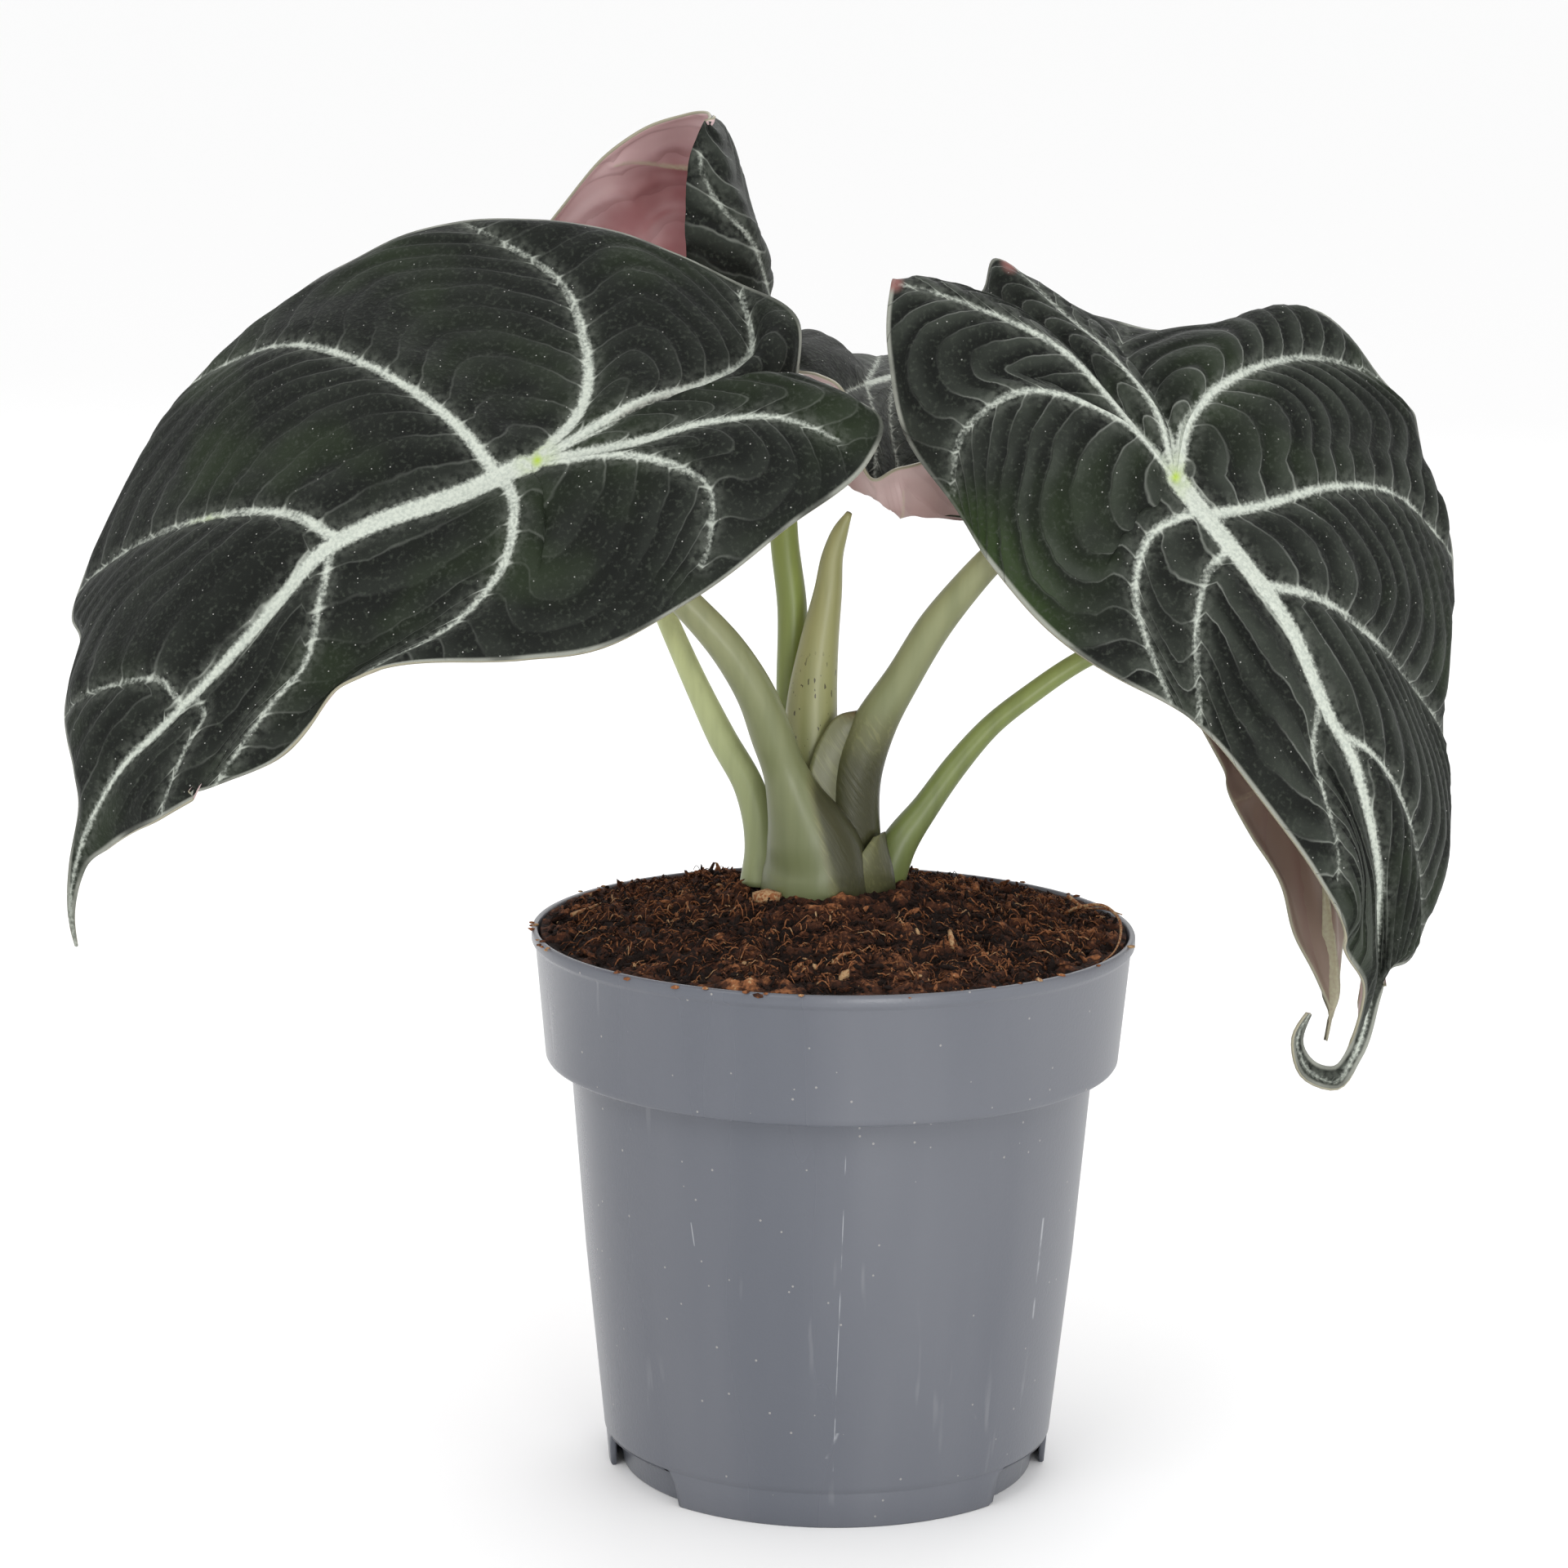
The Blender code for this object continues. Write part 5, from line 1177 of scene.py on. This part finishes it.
def scratch_mask(nodes, scratches):
    """Broken pale lines on the pot's front, each between two places read from the photo."""
    axes = nodes.add("ShaderNodeSeparateXYZ", {0: nodes.place()}).outputs
    front, mask = nodes.math("LESS_THAN", axes[1], 0.0), 0.0
    for column, row, end_column, end_row, width in scratches:
        x, _, z = photo_point(column, row, -50)
        end_x, _, end_z = photo_point(end_column, end_row, -45)
        lean = (end_x - x) / (end_z - z)
        middle = nodes.math("MULTIPLY_ADD", nodes.math("SUBTRACT", axes[2], z), lean, x)
        gap = nodes.math("ABSOLUTE", nodes.math("SUBTRACT", axes[0], middle))
        line = nodes.ramp(gap, 0.0, width * MM, 0.7, 0)
        inside = nodes.math("COMPARE", axes[2], (z + end_z) / 2, abs(z - end_z) / 2)
        mask = nodes.math("MULTIPLY_ADD", nodes.times(line, front), inside, mask)
    return nodes.times(mask, nodes.ramp(nodes.noise(180, 3), 0.4, 0.62))


def pot_material(settings):
    """Satin grey plastic with dust, faint upright scratches, scuffs, pale specks and broad upright
    bands of painted highlight.
    """
    material, nodes, shader = new_material("pot")
    specks = bpy.data.node_groups.get("Specks") or specks_group()
    dust = nodes.use(specks, Scale=340.0, Share=0.45, Size=0.08)["Mask"]
    # Broad upright bands: painted highlight in the colour, and a small change of roughness
    highlight_bands = nodes.noise(26, 3, stretch=(1, 1, 0.12))
    # Scuffs: thin upright streaks
    worn = nodes.times(nodes.ramp(nodes.noise(300, 2, stretch=(1, 1, 0.03)), 0.64, 0.72),
                       nodes.ramp(nodes.noise(34, 2), 0.5, 0.6))
    body = nodes.layered(settings.grey, [
        # Painted highlight in broad upright bands
        (nodes.ramp(highlight_bands, 0.3, 0.7, 0, 0.22), settings.worn),
        (nodes.times(worn, 0.3), settings.worn),
        (nodes.times(dust, 0.4), settings.dust),
        (scratch_mask(nodes, SCRATCHES), settings.scratch)])
    grain = nodes.math("MULTIPLY_ADD", worn, -0.5, nodes.noise(1500, 2))
    nodes.feed(shader, {"Base Color": body, "Roughness": nodes.ramp(highlight_bands, 0.3, 0.7, 0.25, 0.36),
                        "Specular IOR Level": 0.42, "Normal": nodes.bump(grain, 0.00012, 0.35)})
    return material


def flat(x, y):
    """Points (x, y, 0) in one list, to take noise over the ground plan."""
    return np.stack([x, y, np.zeros_like(x)], -1).reshape(-1, 3)


def soil_height(x, y):
    """Height in mm of the soil at a place in mm: a mound with lumps of several sizes."""
    radius, plan = np.hypot(x, y), flat(x, y)
    out = np.clip(1 - radius / SOIL_RADIUS, 0, 1)
    mound = SOIL_EDGE_Z + 1.9 + (MOUND_Z - 1.1 - SOIL_EDGE_Z) * np.sin(out * math.pi / 2) ** 1.4
    lumps = (1.5 * fractal(plan, 9, 2, 3) + 1.8 * fractal(plan, 3.2, 3, 8)
             + 0.6 * fractal(plan, 1.1, 2, 13)).reshape(x.shape) - 0.4
    return mound + lumps * np.clip((SOIL_RADIUS - radius) / 3 + 0.25, 0, 1) - 0.3


def soil_arrays():
    """Polar height field out to the pot's wall, with a plain side and floor below it."""
    side = np.array(SOIL_SIDE)
    radii = np.r_[np.linspace(1, SOIL_RADIUS - 0.1, SOIL_RINGS), side[:, 0]]
    angles = np.linspace(0, math.tau, SOIL_STEPS, endpoint=False)
    x, y = radii[:, None] * np.cos(angles), radii[:, None] * np.sin(angles)
    z = soil_height(x, y)
    z[SOIL_RINGS:] = side[:, 1:]
    points = (np.stack([x, y, z], -1) * MM).reshape(-1, 3)
    last = (len(radii) - 1) * SOIL_STEPS
    faces = [face[::-1] for face in grid_quads(len(radii), SOIL_STEPS, wrap=True).tolist()]
    caps = [list(range(SOIL_STEPS)), list(range(last, last + SOIL_STEPS))[::-1]]
    plan = flat(x, y)
    # Tone follows the lumps' noise: darker in the hollows as painted shade, paler on the lumps
    tone = 0.2 + 0.7 * fractal(plan, 3.2, 3, 8) + 0.3 * fractal(plan, 9, 2, 3)
    return points, faces + caps, tone


def crumb_shape():
    """Unit lump with 12 corners and 20 sides."""
    g = (1 + 5**0.5) / 2
    corners = np.array([(-1, g, 0), (1, g, 0), (-1, -g, 0), (1, -g, 0), (0, -1, g), (0, 1, g),
                        (0, -1, -g), (0, 1, -g), (g, 0, -1), (g, 0, 1), (-g, 0, -1), (-g, 0, 1)])
    sides = [(0, 11, 5), (0, 5, 1), (0, 1, 7), (0, 7, 10), (0, 10, 11), (1, 5, 9), (5, 11, 4),
             (11, 10, 2), (10, 7, 6), (7, 1, 8), (3, 9, 4), (3, 4, 2), (3, 2, 6), (3, 6, 8),
             (3, 8, 9), (4, 9, 5), (2, 4, 11), (6, 2, 10), (8, 6, 7), (9, 8, 1)]
    return corners / np.linalg.norm(corners[0]), sides


def turned(random, count):
    """Random rotation matrices, from unit quaternions."""
    w, x, y, z = random.normal(size=(4, count))
    length = np.sqrt(w * w + x * x + y * y + z * z)
    w, x, y, z = w / length, x / length, y / length, z / length
    return np.array([[1 - 2 * (y * y + z * z), 2 * (x * y - w * z), 2 * (x * z + w * y)],
                     [2 * (x * y + w * z), 1 - 2 * (x * x + z * z), 2 * (y * z - w * x)],
                     [2 * (x * z - w * y), 2 * (y * z + w * x), 1 - 2 * (x * x + y * y)]]
                    ).transpose(2, 0, 1)


def crumb_parts(count, random):
    """Loose lumps sunk a third into the soil; a few are pale chips, most lie towards the rim."""
    corners, sides = crumb_shape()
    radius = np.sqrt(random.uniform(CRUMBS_FROM**2, (SOIL_RADIUS - 1.6) ** 2, count))
    angle = random.uniform(0, math.tau, count)
    size = 0.25 + 1.35 * random.beta(1.1, 5.5, count)
    stretch = size[:, None] * random.uniform((0.9, 0.5, 0.35), (2.6, 1.0, 0.8), (count, 3))
    x, y = radius * np.cos(angle), radius * np.sin(angle)
    centre = np.stack([x, y, soil_height(x, y) + 0.2 * size], -1)
    rough = random.uniform(0.72, 1.2, (count, 12, 1))
    lumps = (corners * rough * stretch[:, None]) @ turned(random, count) + centre[:, None]
    faces = (np.arange(count)[:, None, None] * 12 + np.array(sides)).reshape(-1, 3).tolist()
    tone = 0.75 * random.beta(1.1, 2, count) + 0.6 * fractal(flat(x, y), 7, 2, 17)
    tone = np.where(random.random(count) < 0.012, 0.97, np.clip(tone, 0, 0.8))
    return lumps.reshape(-1, 3) * MM, faces, np.repeat(tone, 12)


def rim_parts(count, random):
    """Bits of soil stuck to the pot's lip, and the pale bud at the plant's foot."""
    corners, sides = crumb_shape()
    parts = []
    for _ in range(count):
        angle, size = random.uniform(0, math.tau), random.uniform(0.25, 0.8)
        radius = RIM_RADIUS + random.choice([-0.4, 0.45])
        centre = np.array([radius * math.cos(angle), radius * math.sin(angle),
                           POT_HEIGHT + random.choice([0.05, -0.5])])
        lump = corners * random.uniform(0.6, 1.2, (12, 1)) * size * [1.4, 1.0, 0.6]
        parts.append(((lump + centre) * MM, [list(s) for s in sides],
                      np.full(12, random.uniform(0.5, 1.0))))
    lump = corners * [3.4, 2.4, 1.9] * MM + photo_point(*BUD)
    return parts + [(lump, [list(s) for s in sides], np.full(12, 0.93))]


def fibre_parts(count, random):
    """Thin bent fibres and roots lying on the soil."""
    parts = []
    for _ in range(count):
        radius = math.sqrt(random.uniform(FIBRES_FROM**2, FIBRES_TO**2))
        angle = random.uniform(0, math.tau)
        heading, bend = random.uniform(0, math.tau), random.normal(0, 0.9)
        length, t = 1.5 + 5 * random.beta(1.2, 3), np.linspace(0, 1, 6)
        way = heading + bend * t
        x = radius * math.cos(angle) + np.cumsum(np.cos(way)) * length / 6
        y = radius * math.sin(angle) + np.cumsum(np.sin(way)) * length / 6
        shrink = np.minimum(1, (SOIL_RADIUS - 2.0) / np.hypot(x, y))
        x, y = x * shrink, y * shrink
        z = soil_height(x, y) + 0.25 + random.uniform(0, 1.1) * np.sin(math.pi * t)
        points, faces = tube(np.stack([x, y, z], -1) * MM,
                             np.full(6, random.uniform(0.05, 0.16) * MM), 4)
        tone = random.choice([0.2, 0.55, 0.78, 0.93], p=[0.3, 0.35, 0.3, 0.05])
        parts.append((points, faces, np.full(len(points), tone)))
    return parts


def root_parts():
    """Pale roots that lie over the soil and the pot's lip, through points read from the photo."""
    parts = []
    for line in ROOTS:
        path = smooth_path(np.array([photo_point(*p) for p in line]), 40)
        points, faces = tube(path, np.linspace(0.45, 0.12, 40) * MM, 6)
        parts.append((points, faces, 0.9 + 0.1 * fractal(points, 3 * MM, 2, 6)))
    return parts


def soil_material(settings):
    """Colour by tone from peat, which is also painted shade in the bed's hollows, through coir to
    pale wood, with fine grit.
    """
    material, nodes, shader = new_material("soil")
    grit = nodes.noise(1300, 4)
    tone = nodes.math("ADD", nodes.math("SUBTRACT", grit, 0.5), nodes.field("tone"))
    body = nodes.layered(settings.dark, [
        (nodes.ramp(tone, 0.12, 0.42), settings.brown),
        (nodes.ramp(tone, 0.45, 0.85), settings.red),
        (nodes.ramp(tone, 0.84, 1.0), settings.pale)])
    nodes.feed(shader, {"Base Color": body, "Roughness": 0.93, "Specular IOR Level": 0.22,
                        "Normal": nodes.bump(grit, 0.0009, 0.9)})
    return material


class ALOCASIA_OT_pot(bpy.types.Operator):
    """Build the moulded pot"""

    bl_idname = "alocasia.pot"
    bl_label = "Build pot"

    def execute(self, context):
        """Turn the outline and dress it in grey plastic."""
        settings = context.scene.alocasia_pot
        points, faces = pot_arrays(settings.segments)
        add_piece("pot_shell", points, faces, [pot_material(settings)], stands_for=("pot",))
        return {"FINISHED"}


class ALOCASIA_OT_soil(bpy.types.Operator):
    """Build the soil with its crumbs and fibres"""

    bl_idname = "alocasia.soil"
    bl_label = "Build soil"

    def execute(self, context):
        """Height field in one piece, crumbs and fibres in two more."""
        settings = context.scene.alocasia_soil
        random = np.random.default_rng(12)
        material = soil_material(settings)
        points, faces, tone = soil_arrays()
        add_piece("soil_bed", points, faces, [material], {"tone": tone}, stands_for=("soil",))
        loose = joined([crumb_parts(settings.crumbs, random)] + rim_parts(RIM_BITS, random))
        add_piece("soil_crumbs", loose[0], loose[1], [material], {"tone": loose[2]})
        loose = joined(fibre_parts(settings.fibres, random) + root_parts())
        add_piece("soil_fibres", loose[0], loose[1], [material], {"tone": loose[2]})
        return {"FINISHED"}


class ALOCASIA_OT_stalks(bpy.types.Operator):
    """Build the crown, the stalks, the rolled new leaf and the sheaths"""

    bl_idname = "alocasia.stalks"
    bl_label = "Build stalks"

    def execute(self, context):
        """Tubes for the stalks, thin wings for the sheaths."""
        settings = context.scene.alocasia_stalks
        green = stalk_material(settings)
        crown = np.array([(*CROWN_AT, height, radius) for radius, height in CROWN]) * MM
        points, faces = tube(crown[:, :3], crown[:, 3], 60)
        crown = (points, faces, np.zeros((len(points), 3)))
        points, faces, fields = joined([crown] + stalk_parts())
        add_piece("stalks", points, faces, [green], {"tone": fields[:, 0], "up": fields[:, 1],
                  "papery_and_shade": fields[:, 2], "dry": np.zeros(len(points))},
                  stands_for=("crown_and_stalks",))
        for name, (inner, outer) in SHEATHS.items():
            points, faces, out = sheath_arrays(inner, outer, SHEATH_THICKNESS * MM)
            tip = np.linalg.norm(points - photo_point(*outer[0]), axis=1) / MM
            dry = np.clip(2.2 * np.exp(-tip / 1.6) * value_noise(points, 2 * MM, 4), 0, 1)
            # Sheath wings are darker with painted shade towards the line where they leave their
            # stalk
            add_piece(name, points, faces, [green], {"tone": np.full(len(points), 0.55),
                      "up": np.full(len(points), 0.3), "papery_and_shade": 0.85 - 0.5 * out, "dry": dry})
        return {"FINISHED"}


class ALOCASIA_OT_blades(bpy.types.Operator):
    """Build the five leaf blades"""

    bl_idname = "alocasia.blades"
    bl_label = "Build blades"

    def execute(self, context):
        """One closed piece for each blade, with its upper side and underside as two materials."""
        settings = context.scene.alocasia_blades
        veins, specks = veins_group(), specks_group()
        materials = [upper_material(settings, veins, specks), under_material(settings, veins)]
        for name, leaf in LEAVES.items():
            points, faces, slots, fields = blade_arrays(name, leaf, settings)
            add_piece(name + "_leaf", points, faces, materials, fields, slots,
                      (name + "_blade",))
        return {"FINISHED"}


def area_light(name, place, aim, size, power):
    """Soft square lamp at a place, turned to a point."""
    lamp = bpy.data.lights.new(name, "AREA")
    lamp.size, lamp.energy = size, power
    item = linked(name, lamp)
    item.location = place
    gaze = Vector([b - a for a, b in zip(place, aim)])
    item.rotation_euler = gaze.to_track_quat("-Z", "Y").to_euler()
    return item


def add_floor(settings):
    """Plain pale floor at height 0."""
    reach = settings.reach
    corners = [(x * reach, y * reach, 0) for x, y in ((-1, -1), (1, -1), (1, 1), (-1, 1))]
    mesh = bpy.data.meshes.new("floor")
    mesh.from_pydata(corners, [], [(0, 1, 2, 3)])
    material, nodes, shader = new_material("floor")
    nodes.feed(shader, {"Base Color": (*settings.floor, 1), "Roughness": 0.9,
                        "Specular IOR Level": 0.1})
    mesh.materials.append(material)
    return linked("floor", mesh)


def add_surround(strength):
    """Even white light from all round."""
    world = bpy.data.worlds.new("surround")
    world.use_nodes = True
    back = world.node_tree.nodes["Background"]
    back.inputs["Color"].default_value = (1, 1, 1, 1)
    back.inputs["Strength"].default_value = strength
    bpy.context.scene.world = world


def add_camera():
    """The photograph's camera."""
    lens = bpy.data.cameras.new("camera")
    lens.sensor_width = SENSOR_MM
    lens.lens = FOCAL_PIXELS * SENSOR_MM / FRAME_PIXELS
    camera = linked("camera", lens)
    camera.matrix_world = (Matrix.Translation(EYE * MM)
                           @ Matrix.Rotation(math.pi / 2 - PITCH, 4, "X")
                           @ Matrix.Rotation(ROLL, 4, "Z"))
    bpy.context.scene.camera = camera


class ALOCASIA_OT_stage(bpy.types.Operator):
    """Build the floor, the lights and the camera"""

    bl_idname = "alocasia.stage"
    bl_label = "Build stage"

    def execute(self, context):
        """Pale floor, even surround, soft lamps and the photograph's camera."""
        settings = context.scene.alocasia_stage
        floor = add_floor(settings)
        add_surround(settings.sky)
        lamps = [area_light(name, *lamp) for name, lamp in LAMPS.items()]
        add_camera()
        context.scene.view_settings.view_transform = "Standard"
        return {"FINISHED"}


class ALOCASIA_PT_panel(bpy.types.Panel):
    """Lists the operators and their settings"""

    bl_label = "Alocasia"
    bl_idname = "ALOCASIA_PT_panel"
    bl_space_type = "VIEW_3D"
    bl_region_type = "UI"
    bl_category = "Alocasia"

    def draw(self, context):
        """One button for each operator, and its settings below it."""
        for operator, group, _ in PIECES:
            self.layout.operator(operator.bl_idname)
            settings = getattr(context.scene, group)
            for name in settings.__annotations__:
                label = name.replace("_", " ").capitalize()
                self.layout.prop(settings, name, text=label)


PIECES = [(ALOCASIA_OT_blades, "alocasia_blades", BladeSettings),
          (ALOCASIA_OT_pot, "alocasia_pot", PotSettings),
          (ALOCASIA_OT_soil, "alocasia_soil", SoilSettings),
          (ALOCASIA_OT_stalks, "alocasia_stalks", StalkSettings),
          (ALOCASIA_OT_stage, "alocasia_stage", StageSettings)]
CLASSES = [*(settings for _, _, settings in PIECES), *(operator for operator, _, _ in PIECES),
           ALOCASIA_PT_panel]


def register():
    """Register the classes and hang their settings on the scene."""
    for cls in CLASSES:
        bpy.utils.register_class(cls)
    for _, name, settings in PIECES:
        setattr(bpy.types.Scene, name, bpy.props.PointerProperty(type=settings))


def unregister():
    """Take the settings and classes away again."""
    for _, name, _ in PIECES:
        delattr(bpy.types.Scene, name)
    for cls in reversed(CLASSES):
        bpy.utils.unregister_class(cls)


def main():
    """Build every piece."""
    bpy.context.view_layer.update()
    register()
    bpy.ops.alocasia.blades()
    bpy.ops.alocasia.pot()
    bpy.ops.alocasia.soil()
    bpy.ops.alocasia.stalks()
    bpy.ops.alocasia.stage()
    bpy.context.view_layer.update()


if __name__ == "__main__":
    main()
